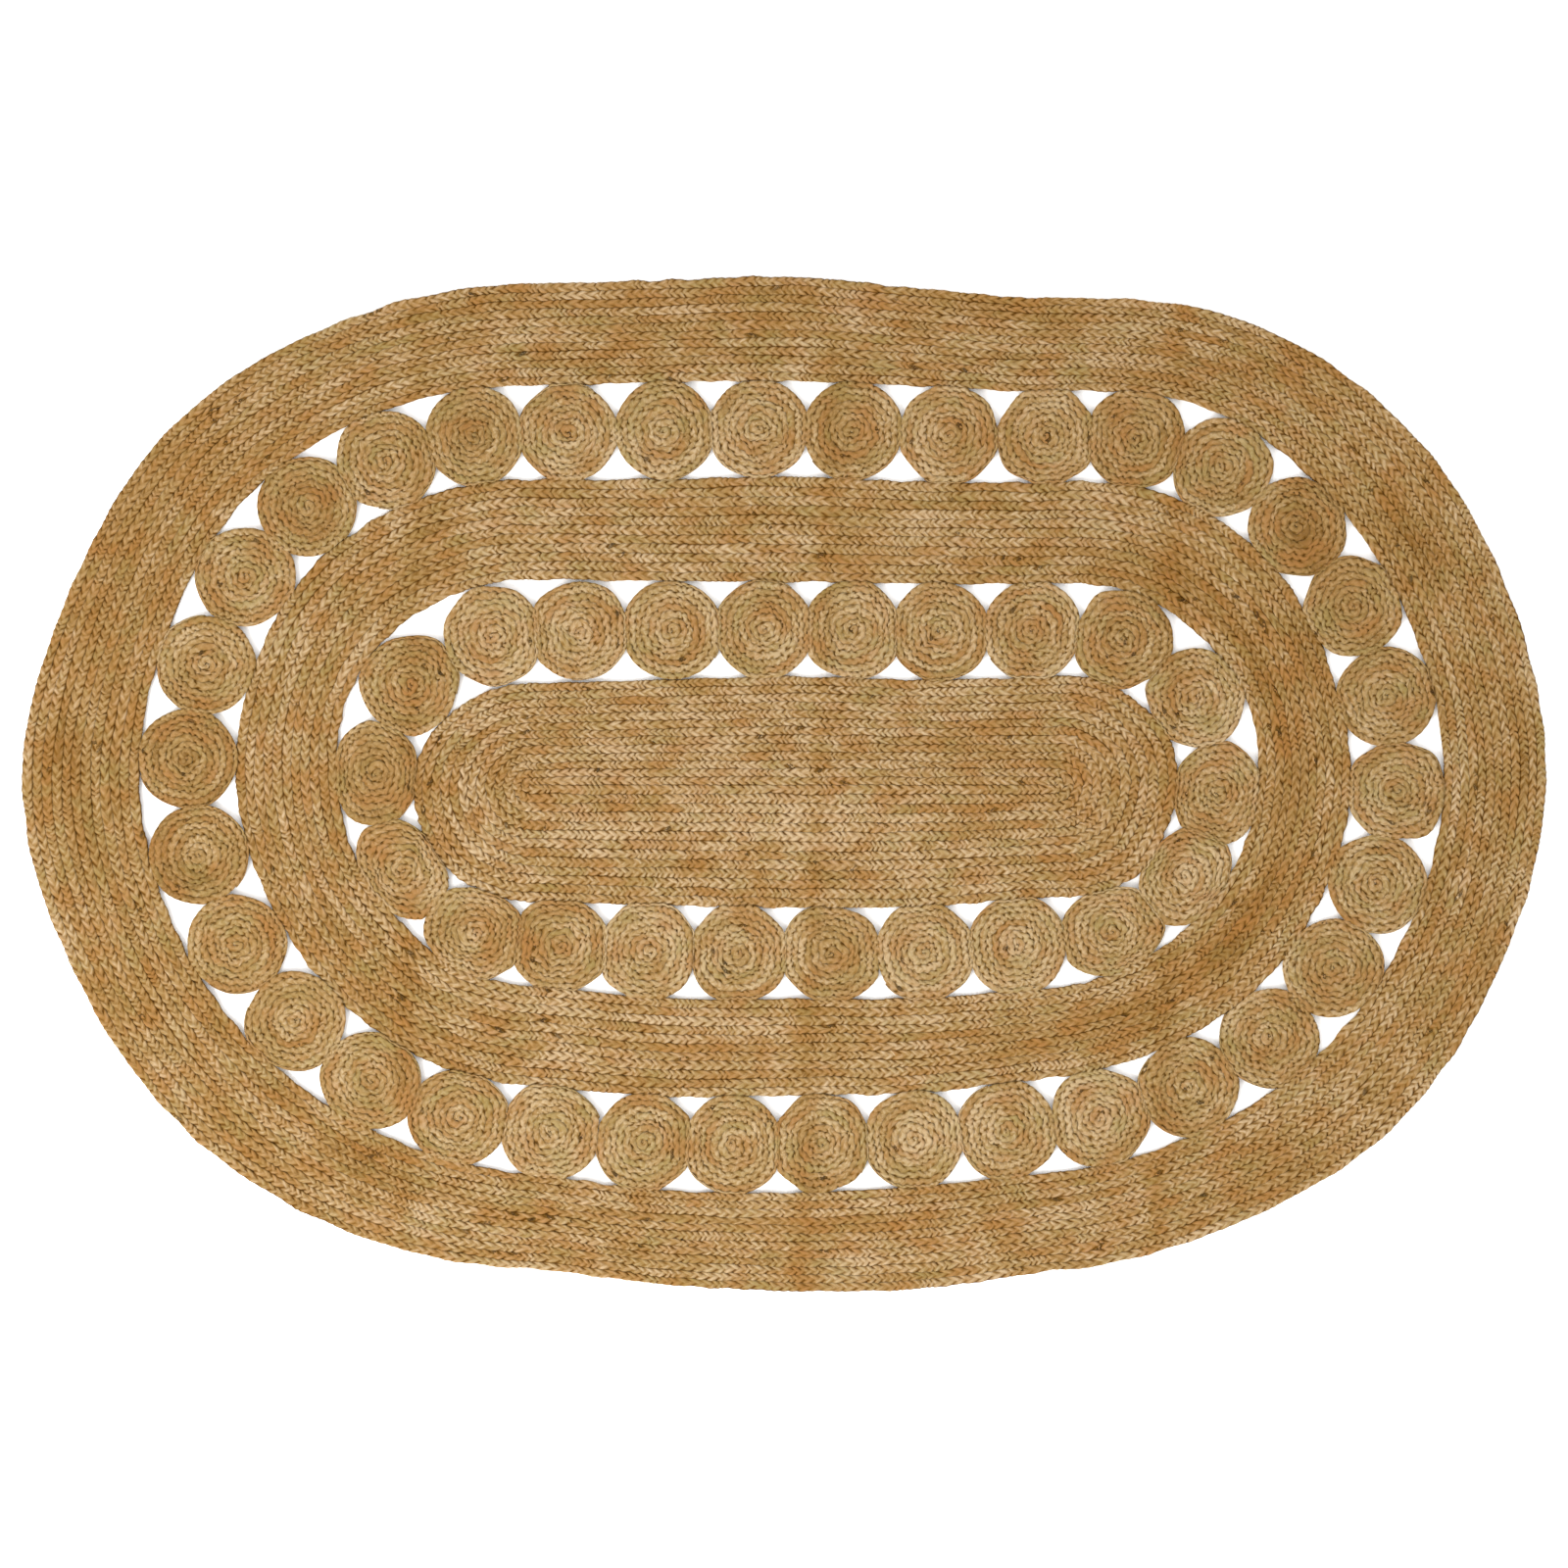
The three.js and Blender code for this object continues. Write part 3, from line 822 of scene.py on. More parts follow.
        for title, columns in ((Maps.FIBRE, maps[:, :2]), (Maps.STRAND, maps[:, 2:])):
            layer = mesh.uv_layers.new(name=title.value)
            layer.uv.foreach_set("vector", columns.astype(np.float32).ravel())
        shade, warmth = jute_tones.tones(points[:, 0], points[:, 1])
        hollow = np.concatenate(self.hollows)
        for title, values in (
            (Maps.SHADE, shade + tone),
            (Maps.WARMTH, warmth),
            (Maps.HOLLOW_SHADE, hollow),
        ):
            layer = mesh.attributes.new(title.value, "FLOAT", "POINT")
            layer.data.foreach_set("value", values.astype(np.float32))
        obj = bpy.data.objects.new(name, mesh)
        bpy.context.scene.collection.objects.link(obj)
        return obj


def wavering(
    chance: np.random.Generator, lap: np.ndarray, numbers: tuple[int, int], count: int
) -> np.ndarray:
    """A line that swings unevenly about 0, mostly between -1 and 1.

    Args:
        chance: The run of chance that it is drawn from.
        lap: How far round each point is, from 0 to 1.
        numbers: The fewest and the most swings of its waves.
        count: How many waves it is the sum of.

    Returns:
        The line's value at each point.
    """
    swings = chance.integers(*numbers, count)
    phases = chance.uniform(0, 2 * np.pi, count)
    return np.sin(2 * np.pi * np.outer(lap, swings) + phases).sum(axis=1) / math.sqrt(count)


def triangles_in(obj: bpy.types.Object) -> int:
    """How many triangles an object's mesh comes to."""
    sizes = np.empty(len(obj.data.polygons), dtype=np.int32)
    obj.data.polygons.foreach_get("loop_total", sizes)
    return int((sizes - 2).sum())


@dataclass
class PlaitedRows:
    """Rows of flat plait lying side by side between two edges of the plan."""

    name: str
    node: str
    inside: Edge
    outside: Edge
    rows: int
    first: int
    last: int
    seed: int
    pattern: PlaitPattern = BAND_PLAIT
    wander: float = 0.0008
    waves: int = 9
    wave_numbers: tuple[int, int] = (4, 60)
    seam_lap: float = 0.0005

    def build(self, plan: RugPlan, lie: LieOfTheRug, jute_tones: RugTones) -> bpy.types.Object:
        """Lays the rows and makes their piece.

        Args:
            plan: The rug's edges.
            lie: How the rug lies on the floor.
            jute_tones: The tones of the rug's jute.

        Returns:
            The finished object, without its material.
        """
        mesh = PlaitMesh(self.pattern, lie, self.seed)
        stations = np.append(plan.stations(), LAP)
        borders = self.borders(plan, stations)
        for row in range(self.first, self.last):
            inner, outer = borders[row], borders[row + 1]
            path = plan.point(stations, (inner + outer) / 2)
            lengths = np.append(0, np.cumsum(np.hypot(*np.diff(path, axis=0).T)))
            start = mesh.chance.uniform(0, lengths[-1])
            mesh.lay(
                self.placed(plan, stations, inner, outer, lengths, start),
                lengths[-1],
                float((outer - inner).mean()) / 2,
                closed=True,
            )
        piece = mesh.piece(self.name, jute_tones, 0.0)
        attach(piece, "root")
        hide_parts(self.node)
        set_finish(piece, Slot.BAND.value)
        self.declare(plan)
        return piece

    def borders(self, plan: RugPlan, stations: np.ndarray) -> list[np.ndarray]:
        """The lines between the rows, which wander a little, as distances from the seam."""
        lines = [plan.rough_distance(self.inside, stations)]
        for border in range(1, self.rows):
            chance = np.random.default_rng((self.rows, border))
            wandering = wavering(chance, stations / LAP, self.wave_numbers, self.waves)
            line = plan.between(self.inside, self.outside, border / self.rows)(stations)
            lines.append(line + self.wander * wandering)
        lines.append(plan.rough_distance(self.outside, stations))
        return lines

    def placed(
        self,
        plan: RugPlan,
        stations: np.ndarray,
        inner: np.ndarray,
        outer: np.ndarray,
        lengths: np.ndarray,
        start: float,
    ) -> Place:
        """The function that places one row's plait, from a start somewhere on its lap."""

        def place(metres: np.ndarray, across: np.ndarray) -> np.ndarray:
            station = np.interp((metres + start) % lengths[-1], lengths, stations)
            near = np.interp(station, stations, inner)
            far = np.interp(station, stations, outer)
            distance = (near + far) / 2 + across * (far - near) / 2
            return plan.point(station, np.maximum(distance, -self.seam_lap))

        return place

    def declare(self, plan: RugPlan) -> None:
        """Works out the piece's outer line and, unless it starts at the seam, its inner line, and
        keeps neither.
        """
        low, high = self.first / self.rows, self.last / self.rows
        stations = plan.stations()
        outer = plan.point(stations, plan.between(self.inside, self.outside, high)(stations))
        if self.inside is Edge.SEAM:
            return
        inner = plan.point(stations, plan.between(self.inside, self.outside, low)(stations))


@dataclass(frozen=True)
class Disc:
    """Where one disc lies and how far it has spread along its ring and across it."""

    centre: np.ndarray
    ahead: np.ndarray
    along: float
    across: float


@dataclass
class DiscRing:
    """A ring of discs between two bands, each a length of plait coiled up."""

    prefix: str
    inside: Edge
    outside: Edge
    creep: Edge
    count: int
    first_at: float
    seed: int
    pattern: PlaitPattern = COIL_PLAIT
    radius: float = 0.0591
    press: float = 0.005
    spread: float = 0.5
    lap: float = 0.0014
    turns: float = 7.5
    first_turn: float = 0.25
    tail_turns: float = 0.8
    squash_power: float = 2.2
    directions: int = 144
    soften: int = 2
    lumps: tuple[int, ...] = (2, 3, 4, 5, 7)
    lump_height: float = 0.0006
    tone_spread: float = 0.08
    plait_width: float = 0.0102
    warp_waves: int = 8
    warp_lengths: tuple[float, float] = (0.016, 0.040)
    warp_reach: float = 0.0009
    warp_power: int = 4
    least_slant: float = 1e-6

    def discs(self, plan: RugPlan) -> list[Disc]:
        """Where the ring's discs lie: half-way between its edges, evenly but for creep.

        Args:
            plan: The rug's edges.

        Returns:
            The discs, counter-clockwise.
        """
        stations = np.append(plan.stations(), LAP)
        middle = plan.between(self.inside, self.outside, 0.5)
        track = plan.point(stations, middle(stations))
        lengths = np.append(0, np.cumsum(np.hypot(*np.diff(track, axis=0).T)))
        even = self.first_at + np.arange(self.count) * lengths[-1] / self.count
        stand = np.interp(even % lengths[-1], lengths, stations)
        crept = even + plan.distance(self.creep, stand)
        station = np.interp(crept % lengths[-1], lengths, stations)
        centre = plan.point(station, middle(station))
        onward = station + 1 / plan.stations_per_section
        ahead = plan.point(onward, middle(onward)) - centre
        ahead /= np.hypot(*ahead.T)[:, None]
        space = plan.distance(self.outside, station) - plan.distance(self.inside, station)
        across = np.minimum(self.radius, space / 2 + self.press)
        along = self.radius * (self.radius / across) ** self.spread
        return [Disc(*disc) for disc in zip(centre, ahead, along, across)]

    def outline(
        self,
        disc: Disc,
        neighbours: list[Disc],
        edges: list[np.ndarray],
        chance: np.random.Generator,
    ) -> np.ndarray:
        """How far the disc reaches in each direction, flat where it meets its neighbours.

        Args:
            disc: The disc.
            neighbours: The discs before and after it.
            edges: The edges of the two bands beside it, as loops of points.
            chance: The ring's run of chance.

        Returns:
            The reach in each direction, counter-clockwise from +X.
        """
        angle = 2 * np.pi * np.arange(self.directions) / self.directions
        direction = np.stack([np.cos(angle), np.sin(angle)], axis=-1)
        aside = np.array([-disc.ahead[1], disc.ahead[0]])
        ahead_part = direction @ disc.ahead / disc.along
        aside_part = direction @ aside / disc.across
        reach = 1 / np.hypot(ahead_part, aside_part)
        for wave in self.lumps:
            swell = np.sin(wave * angle + chance.uniform(0, 2 * np.pi))
            reach += chance.normal(0, self.lump_height) * swell
        for edge in edges:
            reach = np.minimum(reach, reach_to(edge, disc.centre, direction) + self.lap)
        for neighbour in neighbours:
            way = neighbour.centre - disc.centre
            apart = np.hypot(*way)
            slant = np.maximum(direction @ way / apart, self.least_slant)
            reach = np.minimum(reach, (apart + self.lap) / 2 / slant)
        for _ in range(self.soften):
            reach = (np.roll(reach, 1) + 2 * reach + np.roll(reach, -1)) / 4
        return reach

    def warp(self, chance: np.random.Generator) -> Callable[[np.ndarray], np.ndarray]:
        """The unevenness of one disc's turns.

        Args:
            chance: The ring's run of chance.

        Returns:
            The function that says how far a point of the disc is pushed aside.
        """
        angles = chance.uniform(0, 2 * np.pi, self.warp_waves)
        numbers = 2 * np.pi / chance.uniform(*self.warp_lengths, self.warp_waves)
        waves = numbers * np.stack([np.cos(angles), np.sin(angles)])
        phases = chance.uniform(0, 2 * np.pi, (2, self.warp_waves))
        size = self.warp_reach * math.sqrt(2 / self.warp_waves)

        def at(point: np.ndarray) -> np.ndarray:
            swing = point @ waves
            pushed = [np.sin(swing + phase).sum(axis=-1) for phase in phases]
            return size * np.stack(pushed, axis=-1)

        return at

    def coil(
        self, disc: Disc, reach: np.ndarray, chance: np.random.Generator
    ) -> tuple[Place, float]:
        """The coil of one disc, from its middle outwards, clockwise.

        Args:
            disc: The disc.
            reach: The disc's outline, from outline().
            chance: The ring's run of chance.

        Returns:
            The function that places the plait, and its length.
        """
        start = chance.uniform(0, 2 * np.pi)
        warp = self.warp(chance)
        end = self.turns + self.tail_turns
        turn = np.linspace(self.first_turn, end, round(end * self.directions))
        angle = start - 2 * np.pi * turn

        def radius(angles: np.ndarray, share: np.ndarray) -> np.ndarray:
            at = (angles / (2 * np.pi)) % 1 * self.directions
            whole = np.append(reach, reach[0])
            edge = np.interp(at, np.arange(self.directions + 1), whole)
            return share * self.radius - (self.radius - edge) * share**self.squash_power

        outer = np.minimum(turn, self.turns) / self.turns
        inner = np.maximum(turn - 1, 0) / self.turns
        middle = radius(angle, (outer + inner) / 2)
        path = np.stack([np.cos(angle), np.sin(angle)], axis=-1) * middle[:, None]
        lengths = np.append(0, np.cumsum(np.hypot(*np.diff(path, axis=0).T)))

        def place(metres: np.ndarray, across: np.ndarray) -> np.ndarray:
            at = np.interp(metres, lengths, turn)
            wide = np.minimum(at, self.turns) / self.turns
            narrow = np.maximum(at - 1, 0) / self.turns
            share = (wide + narrow) / 2 - across * (wide - narrow) / 2
            angles = start - 2 * np.pi * at
            share = np.maximum(share, 0)
            arm = radius(angles, share)[..., None]
            point = np.stack([np.cos(angles), np.sin(angles)], axis=-1) * arm
            inward = 1 - np.minimum(share, 1)[..., None] ** self.warp_power
            return disc.centre + point + warp(point) * inward

        return place, float(lengths[-1])

    def build(self, plan: RugPlan, lie: LieOfTheRug, jute_tones: RugTones) -> list[bpy.types.Object]:
        """Coils every disc of the ring.

        Args:
            plan: The rug's edges.
            lie: How the rug lies on the floor.
            jute_tones: The tones of the rug's jute.

        Returns:
            The finished objects, without their material.
        """
        discs = self.discs(plan)
        edges = [plan.rough_loop(self.inside), plan.rough_loop(self.outside)]
        chance = np.random.default_rng(self.seed)
        pieces = []
        for at, disc in enumerate(discs):
            neighbours = [discs[at - 1], discs[(at + 1) % self.count]]
            reach = self.outline(disc, neighbours, edges, chance)
            place, length = self.coil(disc, reach, chance)
            mesh = PlaitMesh(self.pattern, lie, self.seed + at)
            mesh.runs = at
            mesh.lay(place, length, self.radius / self.turns / 2, closed=False)
            name = f"{self.prefix}_{at + 1:02d}"
            piece = mesh.piece(f"{name}_coil", jute_tones, float(chance.normal(0, self.tone_spread)))
            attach(piece, "root")
            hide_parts(name)
            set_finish(piece, Slot.COIL.value)
            pieces.append(piece)
        return pieces


def reach_to(loop: np.ndarray, start: np.ndarray, direction: np.ndarray) -> np.ndarray:
    """How far rays from a point run before they cross a loop.

    Args:
        loop: The loop's points.
        start: Where the rays start.
        direction: The rays' directions, one a row.

    Returns:
        The distance of each ray's first crossing.
    """
    edge = np.roll(loop, -1, axis=0) - loop
    offset = loop - start
    turn = np.outer(direction[:, 0], edge[:, 1]) - np.outer(direction[:, 1], edge[:, 0])
    reach = (offset[:, 0] * edge[:, 1] - offset[:, 1] * edge[:, 0]) / turn
    part = (np.outer(direction[:, 1], offset[:, 0]) - np.outer(direction[:, 0], offset[:, 1])) / turn
    crossed = (part >= 0) & (part <= 1) & (reach > 0)
    return np.where(crossed, reach, np.inf).min(axis=1)


class Wiring:
    """Adds nodes to a shader tree and joins them up."""

    def __init__(self, tree: bpy.types.NodeTree) -> None:
        """Takes the tree that the nodes go in."""
        self.tree = tree

    def node(self, kind: str, inputs: dict | None = None, **settings: object) -> bpy.types.Node:
        """Adds one node.

        Args:
            kind: The node's type name.
            inputs: A value or another node's output for each input, by name or number.
            settings: The node's own properties.

        Returns:
            The new node.
        """
        made = self.tree.nodes.new(kind)
        for name, value in settings.items():
            setattr(made, name, value)
        for key, value in (inputs or {}).items():
            if isinstance(value, bpy.types.NodeSocket):
                self.tree.links.new(value, made.inputs[key])
            else:
                made.inputs[key].default_value = value
        return made

    def math(self, operation: str, *values: object, clamp: bool = False) -> bpy.types.NodeSocket:
        """Adds a Math node and returns its result."""
        inputs = dict(enumerate(values))
        made = self.node("ShaderNodeMath", inputs, operation=operation, use_clamp=clamp)
        return made.outputs[0]

    def blend(self, *parts: tuple[object, float]) -> bpy.types.NodeSocket:
        """A sum of values, each multiplied by its own share."""
        (first, share), *others = parts
        total = self.math("MULTIPLY", first, share)
        for value, share in others:
            total = self.math("MULTIPLY_ADD", value, share, total)
        return total

    def ramp(self, value: object, low: float, high: float) -> bpy.types.NodeSocket:
        """A mask that rises smoothly from 0 at low to 1 at high."""
        made = self.node(
            "ShaderNodeMapRange",
            {"Value": value, "From Min": low, "From Max": high},
            interpolation_type="SMOOTHSTEP",
        )
        return made.outputs["Result"]

    def noise(
        self, vector: object, scale: float, detail: float, rough: float = 0.5
    ) -> bpy.types.NodeSocket:
        """A noise texture's value, about 0.5."""
        made = self.node(
            "ShaderNodeTexNoise",
            {"Vector": vector, "Scale": scale, "Detail": detail, "Roughness": rough},
        )
        return made.outputs["Fac"]

    def stretched(self, vector: object, x: float, y: float, z: float = 0.0) -> bpy.types.NodeSocket:
        """Coordinates with each axis multiplied by its own number."""
        made = self.node("ShaderNodeVectorMath", {0: vector, 1: (x, y, z)}, operation="MULTIPLY")
        return made.outputs["Vector"]

    def mix(self, share: object, first: object, second: object) -> bpy.types.NodeSocket:
        """One colour mixed into another."""
        made = self.node("ShaderNodeMix", data_type="RGBA")
        for socket, value in (
            (made.inputs["Factor"], share),
            (made.inputs[6], first),
            (made.inputs[7], second),
        ):
            if isinstance(value, bpy.types.NodeSocket):
                self.tree.links.new(value, socket)
            else:
                socket.default_value = value
        return made.outputs[2]


def new_group(
    name: str, inputs: dict[str, str], outputs: dict[str, str]
) -> tuple[Wiring, dict, dict]:
    """Starts a shader node group with named sockets.

    Args:
        name: The group's name.
        inputs: Each input's socket type, by name.
        outputs: Each output's socket type, by name.

    Returns:
        The group's wiring, the sockets inside that carry its inputs, and those that take
        its outputs.
    """
    tree = bpy.data.node_groups.new(name, "ShaderNodeTree")
    for title, kind in inputs.items():
        tree.interface.new_socket(title, in_out="INPUT", socket_type=kind)
    for title, kind in outputs.items():
        tree.interface.new_socket(title, in_out="OUTPUT", socket_type=kind)
    wiring = Wiring(tree)
    start = wiring.node("NodeGroupInput")
    end = wiring.node("NodeGroupOutput")
    return wiring, {t: start.outputs[t] for t in inputs}, {t: end.inputs[t] for t in outputs}


FLOAT = "NodeSocketFloat"
VECTOR = "NodeSocketVector"
COLOUR = "NodeSocketColor"


@dataclass(frozen=True)
class FibreLook:
    """The fibres that run along each strand: their relief and their lighter and darker lines."""

    fine_scale: float = 2600
    fine_stretch: float = 0.16
    fine_share: float = 0.35
    yarn_scale: float = 620
    yarn_stretch: float = 0.30
    yarn_share: float = 0.65
    tone_range: tuple[float, float] = (0.34, 0.66)

    def group(self) -> bpy.types.NodeTree:
        """Makes the node group.

        Returns:
            The group. It takes the fibre map, and puts out Height and Tone.
        """
        wiring, given, made = new_group(
            "jute_fibres", {"Fibre Map": VECTOR}, {"Height": FLOAT, "Tone": FLOAT}
        )
        at = given["Fibre Map"]
        fine = wiring.noise(wiring.stretched(at, 1, self.fine_stretch), self.fine_scale, 2, 0.6)
        yarn = wiring.noise(wiring.stretched(at, 1, self.yarn_stretch), self.yarn_scale, 1)
        summed = wiring.blend((fine, self.fine_share), (yarn, self.yarn_share))
        wiring.tree.links.new(summed, made["Height"])
        wiring.tree.links.new(wiring.ramp(summed, *self.tone_range), made["Tone"])
        return wiring.tree


@dataclass(frozen=True)
class StrandLook:
    """What differs from strand to strand: tone, amber and olive lengths, dark flecks.

    The places are stretched differently for each effect, so that none repeats another.
    """

    patch_scale: float = 36
    broad_scale: float = 10
    spot_scale: float = 200
    along_strand: tuple[float, float] = (24, 3.7)
    long_lengths: tuple[float, float] = (5, 0.83)
    short_lengths: tuple[float, float, float] = (-21, 0.71, 1)
    amber_lengths: tuple[float, float, float] = (16, 0.77, 2)
    olive_lengths: tuple[float, float, float] = (-13, 0.69, 3)
    stains: tuple[float, float, float] = (24, 34, 1)
    shuffle: tuple[float, float] = (3, -2)
    patch_share: float = 0.3
    broad_share: float = 0.5
    long_share: float = 0.8
    short_share: float = 0.5
    middle_tone: float = 1.05
    odd_share: float = 0.14
    along_share: float = 0.3
    tone_range: tuple[float, float] = (-0.28, 0.58)
    tone_to_amber: float = -0.35
    length_share: float = 0.75
    stain_share: float = 0.75
    odd_tint: float = 0.08
    amber_range: tuple[float, float] = (0.66, 1.00)
    stain_to_olive: float = -0.55
    olive_range: tuple[float, float] = (0.06, 0.36)
    amber_to_fleck: float = 0.25
    fleck_range: tuple[float, float] = (1.127, 1.131)
    spot_range: tuple[float, float] = (0.42, 0.48)

    def group(self) -> bpy.types.NodeTree:
        """Makes the node group.

        Returns:
            The group. It takes the strand map, and puts out Tone, Amber, Olive and Fleck.
        """
        wiring, given, made = new_group(
            "strand_dye",
            {"Strand Map": VECTOR},
            {"Tone": FLOAT, "Amber": FLOAT, "Olive": FLOAT, "Fleck": FLOAT},
        )
        at = given["Strand Map"]
        place = wiring.node("ShaderNodeTexCoord").outputs["Object"]
        lone = wiring.node("ShaderNodeTexWhiteNoise", {"Vector": at}).outputs["Value"]
        odd = wiring.math("SUBTRACT", lone, 0.5)
        along = wiring.noise(wiring.stretched(at, *self.along_strand), 1, 2)
        parts = wiring.node("ShaderNodeSeparateXYZ", {"Vector": at})
        row = wiring.math("FLOOR", wiring.math("DIVIDE", parts.outputs["Y"], STRANDS))
        on_row = wiring.node("ShaderNodeCombineXYZ", {"X": parts.outputs["X"], "Y": row}).outputs[0]
        slow = wiring.blend(
            (wiring.noise(place, self.patch_scale, 2), self.patch_share),
            (wiring.noise(place, self.broad_scale, 2), self.broad_share),
            (wiring.noise(wiring.stretched(on_row, *self.long_lengths), 1, 3), self.long_share),
            (wiring.noise(wiring.stretched(on_row, *self.short_lengths), 1, 2), self.short_share),
        )
        slow = wiring.math("SUBTRACT", slow, self.middle_tone)
        tone = wiring.blend((odd, self.odd_share), (along, self.along_share))
        tone = wiring.math("ADD", tone, slow)
        wiring.tree.links.new(wiring.ramp(tone, *self.tone_range), made["Tone"])
        shuffled = wiring.stretched(at, *self.shuffle)
        drawn = wiring.node("ShaderNodeTexWhiteNoise", {"Vector": shuffled}).outputs["Value"]
        other = wiring.math("SUBTRACT", drawn, 0.5)
        amber = wiring.noise(wiring.stretched(on_row, *self.amber_lengths), 1, 2)
        stain = wiring.noise(wiring.stretched(place, *self.stains), 1, 2)
        warm_brown = wiring.blend(
            (slow, self.tone_to_amber),
            (amber, self.length_share),
            (stain, self.stain_share),
            (other, self.odd_tint),
        )
        wiring.tree.links.new(wiring.ramp(warm_brown, *self.amber_range), made["Amber"])
        olive = wiring.noise(wiring.stretched(on_row, *self.olive_lengths), 1, 2)
        green = wiring.blend(
            (stain, self.stain_to_olive), (olive, self.length_share), (odd, self.odd_tint)
        )
        wiring.tree.links.new(wiring.ramp(green, *self.olive_range), made["Olive"])
        speck = wiring.math("MULTIPLY_ADD", amber, self.amber_to_fleck, drawn)
        speck = wiring.ramp(speck, *self.fleck_range)
        spot = wiring.ramp(wiring.noise(place, self.spot_scale, 1), *self.spot_range)
        wiring.tree.links.new(wiring.math("MULTIPLY", speck, spot), made["Fleck"])
        return wiring.tree


@dataclass(frozen=True)
class JuteFinish:
    """Dry jute: its colours with painted shade in its hollows and a painted highlight on its crowns,
    and how rough and silky it is.
    """

    name: str
    dark: Colour
    straw: Colour
    pale: Colour
    amber: Colour
    olive: Colour
    fleck: Colour
    # Painted shade in the plait's hollows: a dark colour and how strongly it shows, a warm brown mixed
    # in over a wider part of each hollow, and the depths where the dark colour starts and is full.
    hollow: Colour = (0.062, 0.019, 0.0004, 1)
    hollow_dark: float = 0.80
    warm_brown: Colour = (0.200, 0.108, 0.017, 1)
    painted_shade_brown_share: float = 0.45
    painted_shade_brown_range: tuple[float, float] = (0.0, 0.55)
    deep_range: tuple[float, float] = (0.08, 0.92)
    fibre_tone: float = 0.45
    strand_tone: float = 0.75
    shade_tone: float = 0.5
    straw_range: tuple[float, float] = (0.0, 0.6)
    pale_range: tuple[float, float] = (0.5, 1.1)
    olive_share: float = 0.65
    warmth_share: float = 0.55
    amber_share: float = 0.68
    fleck_share: float = 0.95
    # Lighter crowns and darker hollows: a painted highlight that is partly paler worn tops, and
    # painted shade.
    crest_wear_and_highlight: float = 0.12
    sheen: float = 0.03
    sheen_roughness: float = 0.5
    sheen_tint: Colour = (1.0, 0.75, 0.42, 1)
    specular: float = 0.05
    fibre_relief: float = 0.00045
    roughness: tuple[float, float] = (0.82, 0.62)

    def material(self, fibres: bpy.types.NodeTree, jute_tones: bpy.types.NodeTree) -> bpy.types.Material:
        """Makes the material.

        Args:
            fibres: The group of the fibres along each strand.
            jute_tones: The group of what differs from strand to strand.

        Returns:
            The material.
        """
        material = bpy.data.materials.new(self.name)
        material.use_nodes = True
        material.node_tree.nodes.clear()
        wiring = Wiring(material.node_tree)
        fibre_map = wiring.node("ShaderNodeUVMap", uv_map=Maps.FIBRE.value).outputs["UV"]
        strand_map = wiring.node("ShaderNodeUVMap", uv_map=Maps.STRAND.value).outputs["UV"]
        shade, warmth, hollow = (
            wiring.node("ShaderNodeAttribute", attribute_name=title.value).outputs["Fac"]
            for title in (Maps.SHADE, Maps.WARMTH, Maps.HOLLOW_SHADE)
        )
        fibre = wiring.node("ShaderNodeGroup", node_tree=fibres)
        wiring.tree.links.new(fibre_map, fibre.inputs["Fibre Map"])
        strand = wiring.node("ShaderNodeGroup", node_tree=jute_tones)
        wiring.tree.links.new(strand_map, strand.inputs["Strand Map"])
        out = strand.outputs
        tone = wiring.blend(
            (out["Tone"], self.strand_tone), (fibre.outputs["Tone"], self.fibre_tone)
        )
        # Painted highlight on the lobes' crowns, partly paler worn tops, and painted shade in their
        # hollows.
        sunk = wiring.math("MULTIPLY", hollow, 2 * self.crest_wear_and_highlight)
        tone = wiring.math("ADD", tone, wiring.math("SUBTRACT", self.crest_wear_and_highlight, sunk))
        shaded = wiring.math("MULTIPLY", shade, self.shade_tone)
        tone = wiring.math("SUBTRACT", tone, shaded, clamp=True)
        colour = wiring.mix(wiring.ramp(tone, *self.straw_range), self.dark, self.straw)
        colour = wiring.mix(wiring.ramp(tone, *self.pale_range), colour, self.pale)
        olive = wiring.math("MULTIPLY", out["Olive"], self.olive_share)
        colour = wiring.mix(olive, colour, self.olive)
        amber = wiring.math("MULTIPLY", out["Amber"], self.amber_share)
        warm = wiring.math("MULTIPLY_ADD", warmth, self.warmth_share, amber, clamp=True)
        colour = wiring.mix(warm, colour, self.amber)
        fleck = wiring.math("MULTIPLY", out["Fleck"], self.fleck_share)
        colour = wiring.mix(fleck, colour, self.fleck)
        # Painted shade: a warm brown mixed in over the hollows.
        warm_brown = wiring.math("MULTIPLY", wiring.ramp(hollow, *self.painted_shade_brown_range), self.painted_shade_brown_share)
        colour = wiring.mix(warm_brown, colour, self.warm_brown)
